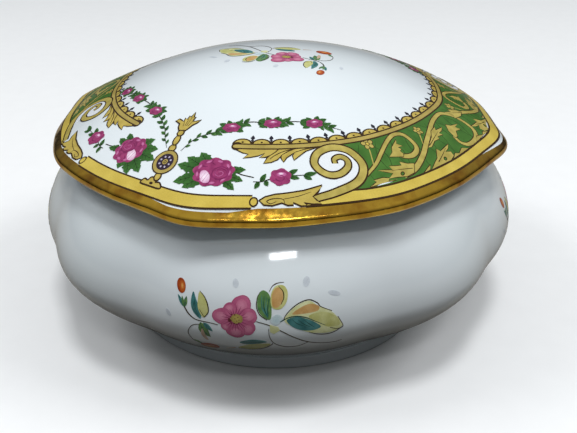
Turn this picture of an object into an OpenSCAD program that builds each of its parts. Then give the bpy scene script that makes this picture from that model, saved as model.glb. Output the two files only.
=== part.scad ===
// Porcelain trinket box: a lobed bowl on a foot ring, and a domed lift-off lid with a gilded lip.
// The origin is at the centre of the foot, on the surface that the box stands on. -Y is the front.

/* [Bowl] */
// Width of the bowl across its belly
bowl_w = 102; // [84:1:140]
// Height of the bowl, from the foot to the seat of the lid
bowl_h = 39; // [32:0.2:60]
// Height of the widest part of the belly above the foot
belly_h = 21; // [14:0.2:26]
// How far the shoulder runs in from the belly to the mouth
shoulder_w = 12; // [7:0.5:16]
// Thickness of the porcelain
wall = 3; // [2:0.25:4.5]
// Flare of the belly where it leaves the foot (1 is slight, 2 is a full round arc)
base_flare = 1.3; // [1:0.05:2]

/* [Lobes] */
// Depth of the grooves between the lobes
groove_depth = 1.4; // [0.5:0.1:2.6]
// Roundness of the bottom of a groove (less is a sharper crease)
groove_softness = 0.2; // [0.1:0.05:0.6]
// How much wider the wide lobes are than the narrow ones, as an angle
lobe_bias = 19; // [0:1:30]

/* [Foot] */
// Diameter of the foot ring
foot_d = 69; // [52:1:74]
// Height of the foot ring
foot_h = 2.8; // [2:0.2:5]
// Width of the ring that stands on the table
foot_ring_w = 3.2; // [2:0.2:5]
// Depth of the recess inside the foot ring
recess_h = 1.8; // [1:0.2:2]

/* [Lid] */
// How far the edge of the lid overhangs the mouth, between its corners
lid_overhang = 7.8; // [5:0.2:12]
// Height of the lid, from its seat to its crown
lid_h = 16; // [12:0.5:26]
// Thickness of the rounded lip
lip_t = 2.2; // [1.4:0.2:3]
// Fullness of the dome (2 is a parabola, more is flatter on top)
dome_fullness = 2.15; // [1.9:0.05:2.8]
// How far each of the four corners stands out from the edge
corner_out = 1.8; // [0:0.1:3]
// How far each of the four points between the corners stands out
point_out = 0.6; // [0:0.1:1.5]
// Turn of the lid on its round seat, anticlockwise from above
lid_turn = -14; // [-45:1:45]

/* [Fits] */
// Depth of the locating flange under the lid
flange_h = 4; // [2.5:0.5:7]
// Thickness of the flange
flange_t = 2.6; // [1.8:0.2:4]
// Radial clearance between the flange and the mouth
flange_gap = 0.8; // [0.4:0.1:1.5]
// Width of the gold up the dome, above the lip
gold_w = 1; // [0.5:0.25:3]
// Thickness of the gold, drawn thicker than a fired layer
gild_t = 0.2; // [0.1:0.05:0.4]

/* [Hidden] */
PORCELAIN = "#eef1f3";
GOLD = "#c8992e";
$fn = 96;
// Steps round a lobed surface, and rings up each half of the bowl and over the dome
STEPS = 96;
BOWL_RINGS = 9;
DOME_RINGS = 8;
INSIDE_STEPS = 10;
FOOT_STEP = 0.3;
// Sharpness of the corners of the lid's edge
CORNER_K = 5.4;
// The lip's half round, as angles above its centre: the gold stops one step before the underside
LIP_TOP = 50;
LIP_BOTTOM = -90;
LIP_STEP = 24;
belly_r = bowl_w / 2;
foot_r = foot_d / 2;
// The body springs from a small step inside the edge of the foot ring
base_r = foot_r - FOOT_STEP;
floor_z = recess_h + wall;
neck_r = belly_r - shoulder_w;
mouth_r = neck_r - wall;
flange_r = mouth_r - flange_gap;
hollow_r = flange_r - flange_t;
// The centre of the lip's half round, and where the dome meets it
lip_r = lip_t / 2;
lip_centre_r = neck_r + lid_overhang - lip_r;
dome_r = lip_centre_r + lip_r * cos(LIP_TOP);
dome_z = lip_r * (1 + sin(LIP_TOP));
gold_edge_r = dome_r - gold_w;

// A closed solid through a stack of rings of STEPS points each, from the underside to the top
module ring_stack(rings) {
    last = (len(rings) - 1) * STEPS;
    sides = [for (k = [0:len(rings) - 2], i = [0:STEPS - 1], upper = [false, true])
        let (a = k * STEPS + i, b = k * STEPS + (i + 1) % STEPS)
        upper ? [a, b + STEPS, b] : [a, a + STEPS, b + STEPS]];
    bottom = [for (i = [0:STEPS - 1]) i];
    top = [for (i = [STEPS - 1:-1:0]) last + i];
    polyhedron([for (ring = rings) each ring], concat([bottom], sides, [top]), convexity = 6);
}

// A hoop whose section is a closed loop of rings of STEPS points each
module ring_loop(rings) {
    total = len(rings) * STEPS;
    sides = [for (k = [0:len(rings) - 1], i = [0:STEPS - 1], upper = [false, true])
        let (a = k * STEPS + i, b = k * STEPS + (i + 1) % STEPS)
        upper ? [a, (b + STEPS) % total, b] : [a, (a + STEPS) % total, (b + STEPS) % total]];
    polyhedron([for (ring = rings) each ring], sides, convexity = 6);
}

// A point at an angle from the front (-Y), anticlockwise from above
function ring_point(angle, r, z) = [r * sin(angle), -r * cos(angle), z];

// 0 on the crest of a lobe and 1 in the bottom of a groove
function groove(angle) =
    let (c = cos(4 * angle - lobe_bias * sin(4 * angle)), s = groove_softness)
    1 - (sqrt(c * c + s * s) - s) / (sqrt(1 + s * s) - s);

// The bowl on a crest, a share t of the way up its lower or its upper half
function lower_r(t) =
    base_r + (belly_r - base_r) * (base_flare * t * pow(1 - t, 2) + t * t * (3 - 2 * t));
function lower_z(t) = foot_h + (belly_h - foot_h) * t;
function upper_r(t) = neck_r + (belly_r - neck_r) * (1 - t * t);
function upper_z(t, top) = belly_h + (top - belly_h) * t;

function bowl_ring(r, z, depth) =
    [for (i = [0:STEPS - 1]) let (a = 360 * i / STEPS) ring_point(a, r - depth * groove(a), z)];

module bowl_body() {
    lower = [for (k = [0:BOWL_RINGS]) let (t = k / BOWL_RINGS)
        bowl_ring(lower_r(t), lower_z(t), groove_depth * sqrt(t))];
    upper = [for (k = [1:BOWL_RINGS]) let (t = k / BOWL_RINGS)
        bowl_ring(upper_r(t), upper_z(t, bowl_h), groove_depth * (1 - t * t))];
    ring_stack(concat(lower, upper));
}

// The round inside keeps one wall from the bottoms of the grooves, the floor and the shoulder
module cavity() {
    skin = groove_depth + wall;
    floor_t = (floor_z - foot_h) / (belly_h - foot_h);
    ceiling_z = bowl_h - wall;
    lower = [for (k = [0:INSIDE_STEPS]) let (t = floor_t + (1 - floor_t) * k / INSIDE_STEPS)
        [lower_r(t) - skin, lower_z(t)]];
    upper = [for (k = [1:INSIDE_STEPS - 1]) let (t = k / INSIDE_STEPS)
        [max(upper_r(t) - skin, mouth_r), upper_z(t, ceiling_z)]];
    mouth = [[mouth_r, ceiling_z], [mouth_r, bowl_h + 1], [0, bowl_h + 1], [0, floor_z]];
    rotate_extrude() polygon(concat(lower, upper, mouth));
}

module foot() {
    difference() {
        cylinder(h = foot_h, r = foot_r);
        translate([0, 0, -1]) cylinder(h = recess_h + 1, r = foot_r - foot_ring_w);
    }
}

module bowl() {
    color(PORCELAIN) difference() {
        union() {
            bowl_body();
            foot();
        }
        cavity();
    }
}

// A corner of the lid's edge: 1 at its tip, falling away to 0 on either side
function corner(angle) = exp(CORNER_K * (cos(4 * angle) - 1));
// A ring of the lid, where the edge's corners die away towards the crown
function lid_ring(r, z) =
    let (fade = pow(min(r / dome_r, 1), 4))
    [for (i = [0:STEPS - 1]) let (a = 360 * i / STEPS)
        ring_point(a, r + fade * (corner_out * corner(a) + point_out * corner(a - 45)), z)];

function dome_height(r) = dome_z + (lid_h - dome_z) * (1 - pow(r / dome_r, dome_fullness));
// A ring at an angle round the lip's half round, and so far out from its surface
function lip_ring(angle, out) =
    lid_ring(lip_centre_r + (lip_r + out) * cos(angle), lip_r + (lip_r + out) * sin(angle));

module lid_shell() {
    lip = [for (a = [LIP_BOTTOM:LIP_STEP:LIP_TOP - 1]) lip_ring(a, 0)];
    dome = [for (k = [DOME_RINGS:-1:1]) let (r = gold_edge_r * k / DOME_RINGS) lid_ring(r, dome_height(r))];
    crown_r = gold_edge_r / DOME_RINGS / 3;
    crown = lid_ring(crown_r, dome_height(crown_r));
    ring_stack(concat(lip, [lid_ring(dome_r, dome_z)], dome, [crown]));
}

// The hollow under the dome, one wall thick, down through the flange
module lid_hollow() {
    inside = [for (k = [0:INSIDE_STEPS]) let (r = hollow_r * (1 - k / INSIDE_STEPS))
        [r, dome_height(r) - wall]];
    rotate_extrude() polygon(concat([[0, -flange_h - 1], [hollow_r, -flange_h - 1]], inside));
}

module place_lid() {
    translate([0, 0, bowl_h]) rotate([0, 0, lid_turn]) children();
}

module lid() {
    color(PORCELAIN) place_lid() difference() {
        union() {
            lid_shell();
            translate([0, 0, -flange_h]) cylinder(h = flange_h, r = flange_r);
        }
        lid_hollow();
    }
}

// The gold lies on the same rings as the lid, from part way up the dome to the turn of the lip
module rim_gilding() {
    turns = [for (a = [LIP_BOTTOM + LIP_STEP:LIP_STEP:LIP_TOP - 1]) a];
    inner = concat([for (a = turns) lip_ring(a, 0)],
        [lid_ring(dome_r, dome_z), lid_ring(gold_edge_r, dome_height(gold_edge_r))]);
    outer = concat([lid_ring(gold_edge_r, dome_height(gold_edge_r) + gild_t)],
        [for (k = [len(turns) - 1:-1:0]) lip_ring(turns[k], gild_t)]);
    color(GOLD) place_lid() ring_loop(concat(inner, outer));
}

bowl();
lid();
rim_gilding();
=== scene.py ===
"""Porcelain trinket box: glazed bowl and lid, bright-gold lip and fired transfer decoration.

Everything is in the CAD frame, +Z up, -Y the front. Lengths are in millimetres until a mesh is
made, and angles are in degrees. A point on a round is given by its radius and its angle from the
front, anticlockwise from above. The decoration is drawn flat, as a transfer maker draws it, then
cut into thin films that are laid on the glaze.
"""

import logging
import math
from collections.abc import Callable, Sequence
from dataclasses import dataclass, field
from enum import Enum

import bpy
import numpy as np
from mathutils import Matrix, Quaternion, Vector, noise
from mathutils.geometry import delaunay_2d_cdt

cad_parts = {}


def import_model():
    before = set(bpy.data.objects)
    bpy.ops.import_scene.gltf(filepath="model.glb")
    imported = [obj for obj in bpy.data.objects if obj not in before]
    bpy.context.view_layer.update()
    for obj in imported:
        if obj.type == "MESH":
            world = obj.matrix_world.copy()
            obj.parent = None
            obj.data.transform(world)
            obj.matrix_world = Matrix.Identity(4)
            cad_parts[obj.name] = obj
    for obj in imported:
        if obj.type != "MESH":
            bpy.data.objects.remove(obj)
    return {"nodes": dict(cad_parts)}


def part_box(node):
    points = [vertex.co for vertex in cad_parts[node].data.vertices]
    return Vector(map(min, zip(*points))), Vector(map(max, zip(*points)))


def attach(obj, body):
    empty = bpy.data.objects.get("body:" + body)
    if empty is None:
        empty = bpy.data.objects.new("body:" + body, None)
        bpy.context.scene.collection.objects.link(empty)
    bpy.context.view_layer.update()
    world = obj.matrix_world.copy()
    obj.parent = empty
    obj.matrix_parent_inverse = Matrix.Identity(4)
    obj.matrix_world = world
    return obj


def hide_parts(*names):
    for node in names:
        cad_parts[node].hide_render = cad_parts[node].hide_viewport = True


log = logging.getLogger("trinket_box")

MM = 0.001
STEPS = 360

Point = tuple[float, float]
Points = Sequence[Point]
# A point in space, or one ring of a section: its radius, its height and a third value.
Place = tuple[float, float, float]


# Colours, nodes and finishes

def linear(code: str) -> tuple[float, float, float, float]:
    """Turns an sRGB hex colour into linear RGBA.

    Args:
        code: The colour as "#rrggbb".

    Returns:
        Red, green, blue and alpha, linear.
    """
    channels = [int(code[i:i + 2], 16) / 255 for i in (1, 3, 5)]
    red, green, blue = (
        c / 12.92 if c <= 0.04045 else ((c + 0.055) / 1.055) ** 2.4 for c in channels)
    return red, green, blue, 1.0


def add_node(tree: bpy.types.NodeTree, kind: str, settings: dict | None = None,
             links: dict | None = None) -> bpy.types.Node:
    """Adds a node with its settings and links.

    Args:
        tree: The node tree.
        kind: The node's type, such as "ShaderNodeMix".
        settings: Values by socket name or number, or by property name.
        links: Source sockets by the name or number of the socket that they feed.

    Returns:
        The new node.
    """
    node = tree.nodes.new(kind)
    for key, value in (settings or {}).items():
        if isinstance(key, int) or key in node.inputs:
            node.inputs[key].default_value = value
        else:
            setattr(node, key, value)
    for key, source in (links or {}).items():
        tree.links.new(source, node.inputs[key])
    return node


@dataclass(frozen=True)
class Finish:
    """A named surface finish, with what every finish has."""

    name: str

    def start(self) -> tuple[bpy.types.Material, bpy.types.NodeTree, bpy.types.NodeSocket]:
        """Makes an empty material.

        Returns:
            The material, its node tree and its Object coordinates in millimetres.
        """
        material = bpy.data.materials.new(self.name)
        material.use_nodes = True
        tree = material.node_tree
        tree.nodes.clear()
        place = add_node(tree, "ShaderNodeTexCoord")
        in_mm = add_node(tree, "ShaderNodeMapping", {"Scale": (1 / MM, 1 / MM, 1 / MM)},
                         {"Vector": place.outputs["Object"]})
        return material, tree, in_mm.outputs["Vector"]

    def close(self, tree: bpy.types.NodeTree, shader: bpy.types.Node) -> None:
        """Leads a shader to the material's output."""
        add_node(tree, "ShaderNodeOutputMaterial", {}, {"Surface": shader.outputs["BSDF"]})


@dataclass(frozen=True)
class GlazedPorcelain(Finish):
    """Hard-paste porcelain, cast and dipped in a clear feldspar glaze.

    The body is a cool white. The glaze gives a hard mirror gloss over very slight ripples, and it
    is a trace greener where it has pooled.
    """

    body: str = "#e6ebee"
    pooled: str = "#dce4e5"
    ripple_mm: float = 3.5
    pool_mm: float = 22.0

    def make(self) -> bpy.types.Material:
        """Builds the material.

        Returns:
            The material.
        """
        material, tree, place = self.start()
        pools = add_node(tree, "ShaderNodeTexNoise", {"Scale": 1 / self.pool_mm, "Detail": 3.0},
                         {"Vector": place})
        colour = add_node(tree, "ShaderNodeMix", {"data_type": "RGBA", 6: linear(self.body),
                                                  7: linear(self.pooled)},
                          {0: pools.outputs["Fac"]})
        ripples = add_node(tree, "ShaderNodeTexNoise", {"Scale": 1 / self.ripple_mm, "Detail": 1.0},
                           {"Vector": place})
        skin = add_node(tree, "ShaderNodeBump", {"Strength": 0.04, "Distance": 0.0002},
                        {"Height": ripples.outputs["Fac"]})
        shader = add_node(tree, "ShaderNodeBsdfPrincipled",
                          {"Roughness": 0.09, "IOR": 1.52, "Coat Weight": 0.35,
                           "Coat Roughness": 0.03},
                          {"Base Color": colour.outputs[2], "Normal": skin.outputs["Normal"]})
        self.close(tree, shader)
        return material


@dataclass(frozen=True)
class Bisque(Finish):
    """The unglazed ring that stands on the table, wiped clean of glaze before firing.

    It is matt, a little warm, and slightly soiled by use.
    """

    clean: str = "#dcd9d2"
    soiled: str = "#b9b3a8"
    grit_mm: float = 0.4

    def make(self) -> bpy.types.Material:
        """Builds the material.

        Returns:
            The material.
        """
        material, tree, place = self.start()
        grit = add_node(tree, "ShaderNodeTexNoise", {"Scale": 1 / self.grit_mm, "Detail": 4.0},
                        {"Vector": place})
        colour = add_node(tree, "ShaderNodeMix", {"data_type": "RGBA", 6: linear(self.clean),
                                                  7: linear(self.soiled)},
                          {0: grit.outputs["Fac"]})
        skin = add_node(tree, "ShaderNodeBump", {"Strength": 0.3, "Distance": 0.0001},
                        {"Height": grit.outputs["Fac"]})
        shader = add_node(tree, "ShaderNodeBsdfPrincipled", {"Roughness": 0.7},
                          {"Base Color": colour.outputs[2], "Normal": skin.outputs["Normal"]})
        self.close(tree, shader)
        return material


@dataclass(frozen=True)
class FiredTransfer(Finish):
    """Ceramic colours printed on a transfer and fired into the glaze.

    The colour comes from the film's own ink attribute. Print grain breaks it up a little, and
    the glaze shows through as a slightly softer gloss than the bare porcelain's.
    """

    grain_mm: float = 0.22
    grain_depth: float = 0.16

    def make(self) -> bpy.types.Material:
        """Builds the material.

        Returns:
            The material.
        """
        material, tree, place = self.start()
        ink = add_node(tree, "ShaderNodeAttribute", {"attribute_name": "ink"})
        grain = add_node(tree, "ShaderNodeTexNoise", {"Scale": 1 / self.grain_mm, "Detail": 2.0},
                         {"Vector": place})
        depth = add_node(tree, "ShaderNodeMapRange",
                         {"To Min": 1 - self.grain_depth, "To Max": 1 + self.grain_depth},
                         {"Value": grain.outputs["Fac"]})
        colour = add_node(tree, "ShaderNodeVectorMath", {"operation": "SCALE"},
                          {"Vector": ink.outputs["Color"], "Scale": depth.outputs["Result"]})
        skin = add_node(tree, "ShaderNodeBump", {"Strength": 0.06, "Distance": 0.00003},
                        {"Height": grain.outputs["Fac"]})
        shader = add_node(tree, "ShaderNodeBsdfPrincipled",
                          {"Roughness": 0.22, "IOR": 1.5, "Specular IOR Level": 0.3},
                          {"Base Color": colour.outputs["Vector"],
                           "Normal": skin.outputs["Normal"]})
        self.close(tree, shader)
        return material


@dataclass(frozen=True)
class BrightGold(Finish):
    """Liquid bright gold, brushed on the lip and fired to a mirror.

    It is a thin layer, so the brush leaves soft streaks along the lip, and it is redder and
    duller where it was laid thin.
    """

    full: str = "#eabb45"
    thin: str = "#b47a28"
    streak_mm: float = 4.0
    wear_mm: float = 0.8
    wave_mm: float = 9.0

    def make(self) -> bpy.types.Material:
        """Builds the material.

        Returns:
            The material.
        """
        material, tree, place = self.start()
        streaks = add_node(tree, "ShaderNodeTexNoise", {"Scale": 1 / self.streak_mm,
                                                        "Detail": 3.0}, {"Vector": place})
        wear = add_node(tree, "ShaderNodeTexNoise", {"Scale": 1 / self.wear_mm, "Detail": 4.0},
                        {"Vector": place})
        laid = add_node(tree, "ShaderNodeMapRange", {"From Min": 0.42, "From Max": 0.7},
                        {"Value": streaks.outputs["Fac"]})
        colour = add_node(tree, "ShaderNodeMix", {"data_type": "RGBA", 6: linear(self.full),
                                                  7: linear(self.thin)},
                          {0: laid.outputs["Result"]})
        gloss = add_node(tree, "ShaderNodeMapRange",
                         {"From Min": 0.35, "From Max": 0.75, "To Min": 0.1, "To Max": 0.26},
                         {"Value": wear.outputs["Fac"]})
        waves = add_node(tree, "ShaderNodeTexNoise", {"Scale": 1 / self.wave_mm, "Detail": 1.0},
                         {"Vector": place})
        uneven = add_node(tree, "ShaderNodeBump", {"Strength": 0.6, "Distance": 0.0012},
                          {"Height": waves.outputs["Fac"]})
        skin = add_node(tree, "ShaderNodeBump", {"Strength": 0.3, "Distance": 0.0003},
                        {"Height": streaks.outputs["Fac"], "Normal": uneven.outputs["Normal"]})
        shader = add_node(tree, "ShaderNodeBsdfPrincipled", {"Metallic": 1.0},
                          {"Base Color": colour.outputs[2], "Roughness": gloss.outputs["Result"],
                           "Normal": skin.outputs["Normal"]})
        self.close(tree, shader)
        return material


@dataclass(frozen=True)
class StudioPaper(Finish):
    """The pale matt paper that the box stands on, with a faint felt mark.

    The camera sees it pale, but it is painted dark for light that bounces off it, a painted shade
    that keeps the underside as dark as it is over a table. The gold and the glaze mirror it in a
    painted middle tone, a painted reflection.
    """

    tone: str = "#f4f4f3"
    felt: str = "#efefee"
    bounce_shade: str = "#302f2d"
    mirrored: str = "#97938b"
    felt_mm: float = 6.0

    def make(self) -> bpy.types.Material:
        """Builds the material.

        Returns:
            The material.
        """
        material, tree, place = self.start()
        marks = add_node(tree, "ShaderNodeTexNoise", {"Scale": 1 / self.felt_mm, "Detail": 4.0},
                         {"Vector": place})
        colour = add_node(tree, "ShaderNodeMix", {"data_type": "RGBA", 6: linear(self.tone),
                                                  7: linear(self.felt)},
                          {0: marks.outputs["Fac"]})
        # Painted shade: only camera rays see the pale paper; bounced light sees the dark tone, and
        # reflections see the painted middle tone.
        rays = add_node(tree, "ShaderNodeLightPath")
        hidden = add_node(tree, "ShaderNodeMix", {"data_type": "RGBA", 6: linear(self.bounce_shade),
                                                  7: linear(self.mirrored)},
                          {0: rays.outputs["Is Glossy Ray"]})
        seen = add_node(tree, "ShaderNodeMix", {"data_type": "RGBA"},
                        {0: rays.outputs["Is Camera Ray"], 6: hidden.outputs[2],
                         7: colour.outputs[2]})
        shader = add_node(tree, "ShaderNodeBsdfPrincipled",
                          {"Roughness": 0.9, "Specular IOR Level": 0.2},
                          {"Base Color": seen.outputs[2]})
        self.close(tree, shader)
        return material


# The shapes of the bowl and the lid

@dataclass(frozen=True)
class BowlForm:
    """The bowl's outer and inner surfaces, as the CAD model has them."""

    belly_r: float = 51.0
    neck_r: float = 39.0
    belly_h: float = 21.0
    bowl_h: float = 39.0
    wall: float = 3.0
    base_flare: float = 1.3
    groove_depth: float = 1.4
    groove_softness: float = 0.2
    lobe_bias: float = 19.0
    foot_r: float = 34.5
    foot_h: float = 2.8
    foot_ring_w: float = 3.2
    recess_h: float = 1.8
    foot_step: float = 0.3

    @property
    def base_r(self) -> float:
        """Radius where the body springs from the foot ring."""
        return self.foot_r - self.foot_step

    @property
    def floor_z(self) -> float:
        """Height of the floor inside."""
        return self.recess_h + self.wall

    @property
    def mouth_r(self) -> float:
        """Radius of the mouth."""
        return self.neck_r - self.wall

    def groove(self, angle: float) -> float:
        """0 on the crest of a lobe and 1 in the bottom of a groove.

        Args:
            angle: Angle from the front.

        Returns:
            Share of the groove's full depth.
        """
        turn = math.radians(4 * angle)
        across = math.cos(turn - math.radians(self.lobe_bias) * math.sin(turn))
        soft = self.groove_softness
        return 1 - (math.hypot(across, soft) - soft) / (math.hypot(1, soft) - soft)

    def crest(self, z: float) -> tuple[float, float]:
        """The section through the crest of a lobe.

        Args:
            z: Height above the foot.

        Returns:
            The radius, and the depth of the grooves there.
        """
        if z < self.belly_h:
            t = max(0.0, (z - self.foot_h) / (self.belly_h - self.foot_h))
            share = self.base_flare * t * (1 - t) ** 2 + t * t * (3 - 2 * t)
            return (self.base_r + (self.belly_r - self.base_r) * share,
                    self.groove_depth * math.sqrt(t))
        t = min(1.0, (z - self.belly_h) / (self.bowl_h - self.belly_h))
        return (self.neck_r + (self.belly_r - self.neck_r) * (1 - t * t),
                self.groove_depth * (1 - t * t))

    def climb(self, count: int = 240) -> tuple[np.ndarray, np.ndarray]:
        """Heights up the outside, and the distance along the surface from the foot to each.

        Args:
            count: Number of heights.

        Returns:
            The heights, and the distance to each.
        """
        heights = np.linspace(self.foot_h, self.bowl_h, count)
        radii = np.array([self.crest(z)[0] for z in heights])
        steps = np.hypot(np.diff(heights), np.diff(radii))
        return heights, np.concatenate([[0.0], np.cumsum(steps)])

    def inside(self, count: int) -> list[Point]:
        """The round inside, from the mouth down to the floor, as radius and height.

        Args:
            count: Number of steps above the belly, and as many below it.

        Returns:
            Radius and height of each point.
        """
        skin = self.groove_depth + self.wall
        ceiling = self.bowl_h - self.wall
        points = []
        for k in range(1, count + 1):
            t = 1 - k / count
            radius = self.neck_r + (self.belly_r - self.neck_r) * (1 - t * t) - skin
            height = self.belly_h + (ceiling - self.belly_h) * t
            points.append((max(radius, self.mouth_r), height))
        for k in range(1, count + 1):
            height = self.belly_h + (self.floor_z - self.belly_h) * k / count
            points.append((self.crest(height)[0] - skin, height))
        return points


@dataclass(frozen=True)
class LidForm:
    """The lid's surfaces, as the CAD model has them, in the lid's own plan."""

    seat_z: float = 39.0
    turn: float = -14.0
    lid_h: float = 16.0
    wall: float = 3.0
    lip_r: float = 1.1
    lip_centre_r: float = 45.7
    lip_top: float = 50.0
    dome_fullness: float = 2.15
    corner_out: float = 1.8
    point_out: float = 0.6
    corner_k: float = 5.4
    droop: float = 0.7
    droop_from: float = 45.0
    droop_turn: float = 14.0
    droop_k: float = 1.6
    flange_r: float = 35.2
    flange_h: float = 4.0
    hollow_r: float = 32.6

    @property
    def dome_r(self) -> float:
        """Radius where the dome meets the lip."""
        return self.lip_centre_r + self.lip_r * math.cos(math.radians(self.lip_top))

    @property
    def dome_z(self) -> float:
        """Height of that circle above the seat."""
        return self.lip_r * (1 + math.sin(math.radians(self.lip_top)))

    def height(self, radius: float) -> float:
        """Height of the dome above the seat."""
        rise = self.lid_h - self.dome_z
        return self.dome_z + rise * (1 - (radius / self.dome_r) ** self.dome_fullness)

    def slope(self, radius: float) -> float:
        """Slope of the dome, negative going outwards.

        Args:
            radius: Radius in the lid's plan.

        Returns:
            Rise over run.
        """
        rise = self.lid_h - self.dome_z
        return (-rise * self.dome_fullness / self.dome_r
                * (radius / self.dome_r) ** (self.dome_fullness - 1))

    def edge_out(self, angle: float) -> float:
        """How far the edge stands out at an angle of the lid.

        Args:
            angle: Angle from the lid's front.

        Returns:
            The distance, at the lip.
        """
        corner = math.exp(self.corner_k * (math.cos(math.radians(4 * angle)) - 1))
        point = math.exp(self.corner_k * (math.cos(math.radians(4 * angle - 180)) - 1))
        return self.corner_out * corner + self.point_out * point

    def sag(self, radius: float, angle: float) -> float:
        """How far the lip hangs lower, which is most above each wide lobe of the bowl.

        Args:
            radius: Radius in the lid's plan.
            angle: Angle from the lid's front.

        Returns:
            The drop.
        """
        share = (radius - self.droop_from) / (self.dome_r - self.droop_from)
        share = min(1.0, max(0.0, share))
        turn = math.radians(4 * (angle - self.droop_turn))
        return self.droop * share * math.exp(self.droop_k * (math.cos(turn) - 1))

    def spread(self, radius: float, angle: float) -> float:
        """Radius of a ring of the lid at an angle, with the corners of its edge."""
        return radius + min(radius / self.dome_r, 1.0) ** 4 * self.edge_out(angle)

    def lip(self, turn: float, out: float = 0.0) -> Point:
        """A point on the lip's half round.

        Args:
            turn: Angle above the horizontal, round the lip.
            out: Distance out from the porcelain.

        Returns:
            Radius, and height above the seat.
        """
        reach = self.lip_r + out
        return (self.lip_centre_r + reach * math.cos(math.radians(turn)),
                self.lip_r + reach * math.sin(math.radians(turn)))


def on_round(radius: float, angle: float) -> Point:
    """The plan point at a radius and an angle from the front."""
    return radius * math.sin(math.radians(angle)), -radius * math.cos(math.radians(angle))


# Turned pieces

def only_select(*objects: bpy.types.Object) -> None:
    """Deselects everything, then selects these objects and makes the first one active."""
    for other in bpy.context.selected_objects:
        other.select_set(False)
    for one in objects:
        one.select_set(True)
    if objects:
        bpy.context.view_layer.objects.active = objects[0]


def smooth(piece: bpy.types.Object, angle: float = 35.0) -> None:
    """Shades a piece smooth, except over edges sharper than an angle."""
    only_select(piece)
    bpy.ops.object.shade_smooth_by_angle(angle=math.radians(angle))


def turned(name: str, section: Sequence[Place],
           place: Callable[[float, float, float, float], Place],
           closed: bool = False) -> bpy.types.Object:
    """Turns a section round the axis, then lets it follow a shape that isn't round.

    A circle is added at the section's first point and extruded from ring to ring.

    Args:
        name: The piece's name.
        section: Radius, height and weight of the unround shape for each ring.
        place: Gives x, y and z in mm from the radius, height, weight and angle of a point.
        closed: True for a hoop, whose last ring is bridged to its first. Otherwise both ends
            are drawn together to a point on the axis.

    Returns:
        The new piece.
    """
    only_select()
    first_r, first_z, _ = section[0]
    bpy.ops.mesh.primitive_circle_add(vertices=STEPS, radius=first_r * MM,
                                      location=(0, 0, first_z * MM))
    piece = bpy.context.object
    piece.name = piece.data.name = name
    bpy.ops.object.transform_apply(location=True, rotation=True, scale=True)
    bpy.ops.object.mode_set(mode="EDIT")
    bpy.ops.mesh.select_all(action="SELECT")
    for (r0, z0, _), (r1, z1, _) in zip(section, section[1:]):
        bpy.ops.mesh.extrude_edges_move()
        bpy.ops.transform.resize(value=(r1 / r0, r1 / r0, 1), center_override=(0, 0, 0))
        bpy.ops.transform.translate(value=(0, 0, (z1 - z0) * MM))
    bpy.ops.object.mode_set(mode="OBJECT")
    for k, vertex in enumerate(piece.data.vertices):
        radius, height, weight = section[k // STEPS]
        angle = math.degrees(math.atan2(vertex.co.x, -vertex.co.y))
        vertex.co = Vector(place(radius, height, weight, angle)) * MM
    last = len(piece.data.vertices) - STEPS
    if closed:
        pick_vertices(piece, list(range(STEPS)) + list(range(last, last + STEPS)))
        bpy.ops.mesh.bridge_edge_loops()
    else:
        pick_vertices(piece, range(last, last + STEPS))
        bpy.ops.mesh.merge(type="CENTER")
        bpy.ops.object.mode_set(mode="OBJECT")
        pick_vertices(piece, range(STEPS))
        bpy.ops.mesh.merge(type="CENTER")
    bpy.ops.mesh.select_all(action="SELECT")
    bpy.ops.mesh.normals_make_consistent(inside=False)
    bpy.ops.object.mode_set(mode="OBJECT")
    return piece


def pick_vertices(piece: bpy.types.Object, wanted: Sequence[int]) -> None:
    """Goes into edit mode with only these vertices of a piece selected.

    Args:
        piece: The piece.
        wanted: Numbers of the vertices.
    """
    only_select(piece)
    bpy.ops.object.mode_set(mode="EDIT")
    bpy.ops.mesh.select_mode(type="VERT")
    bpy.ops.mesh.select_all(action="DESELECT")
    bpy.ops.object.mode_set(mode="OBJECT")
    for k in wanted:
        piece.data.vertices[k].select = True
    bpy.ops.object.mode_set(mode="EDIT")


def rounded(corner: Point, start: Point, end: Point, size: float, count: int = 4) -> list[Point]:
    """A rounded corner of a section.

    Args:
        corner: The sharp corner.
        start: A point on the side that comes in.
        end: A point on the side that goes out.
        size: Distance from the corner at which the round begins.
        count: Number of steps in the round.

    Returns:
        Points from side to side.
    """
    at = np.array(corner)
    back, on = np.array(start) - at, np.array(end) - at
    p0 = at + back / np.linalg.norm(back) * size
    p2 = at + on / np.linalg.norm(on) * size
    steps = [k / count for k in range(count + 1)]
    return [tuple((1 - t) ** 2 * p0 + 2 * t * (1 - t) * at + t * t * p2) for t in steps]


# Transfers

class Blend(Enum):
    """How an ink goes from its tone to its shade."""

    FLAT = "flat"
    MOTTLED = "mottled"
    ROUND = "round"
    ALONG = "along"


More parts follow.
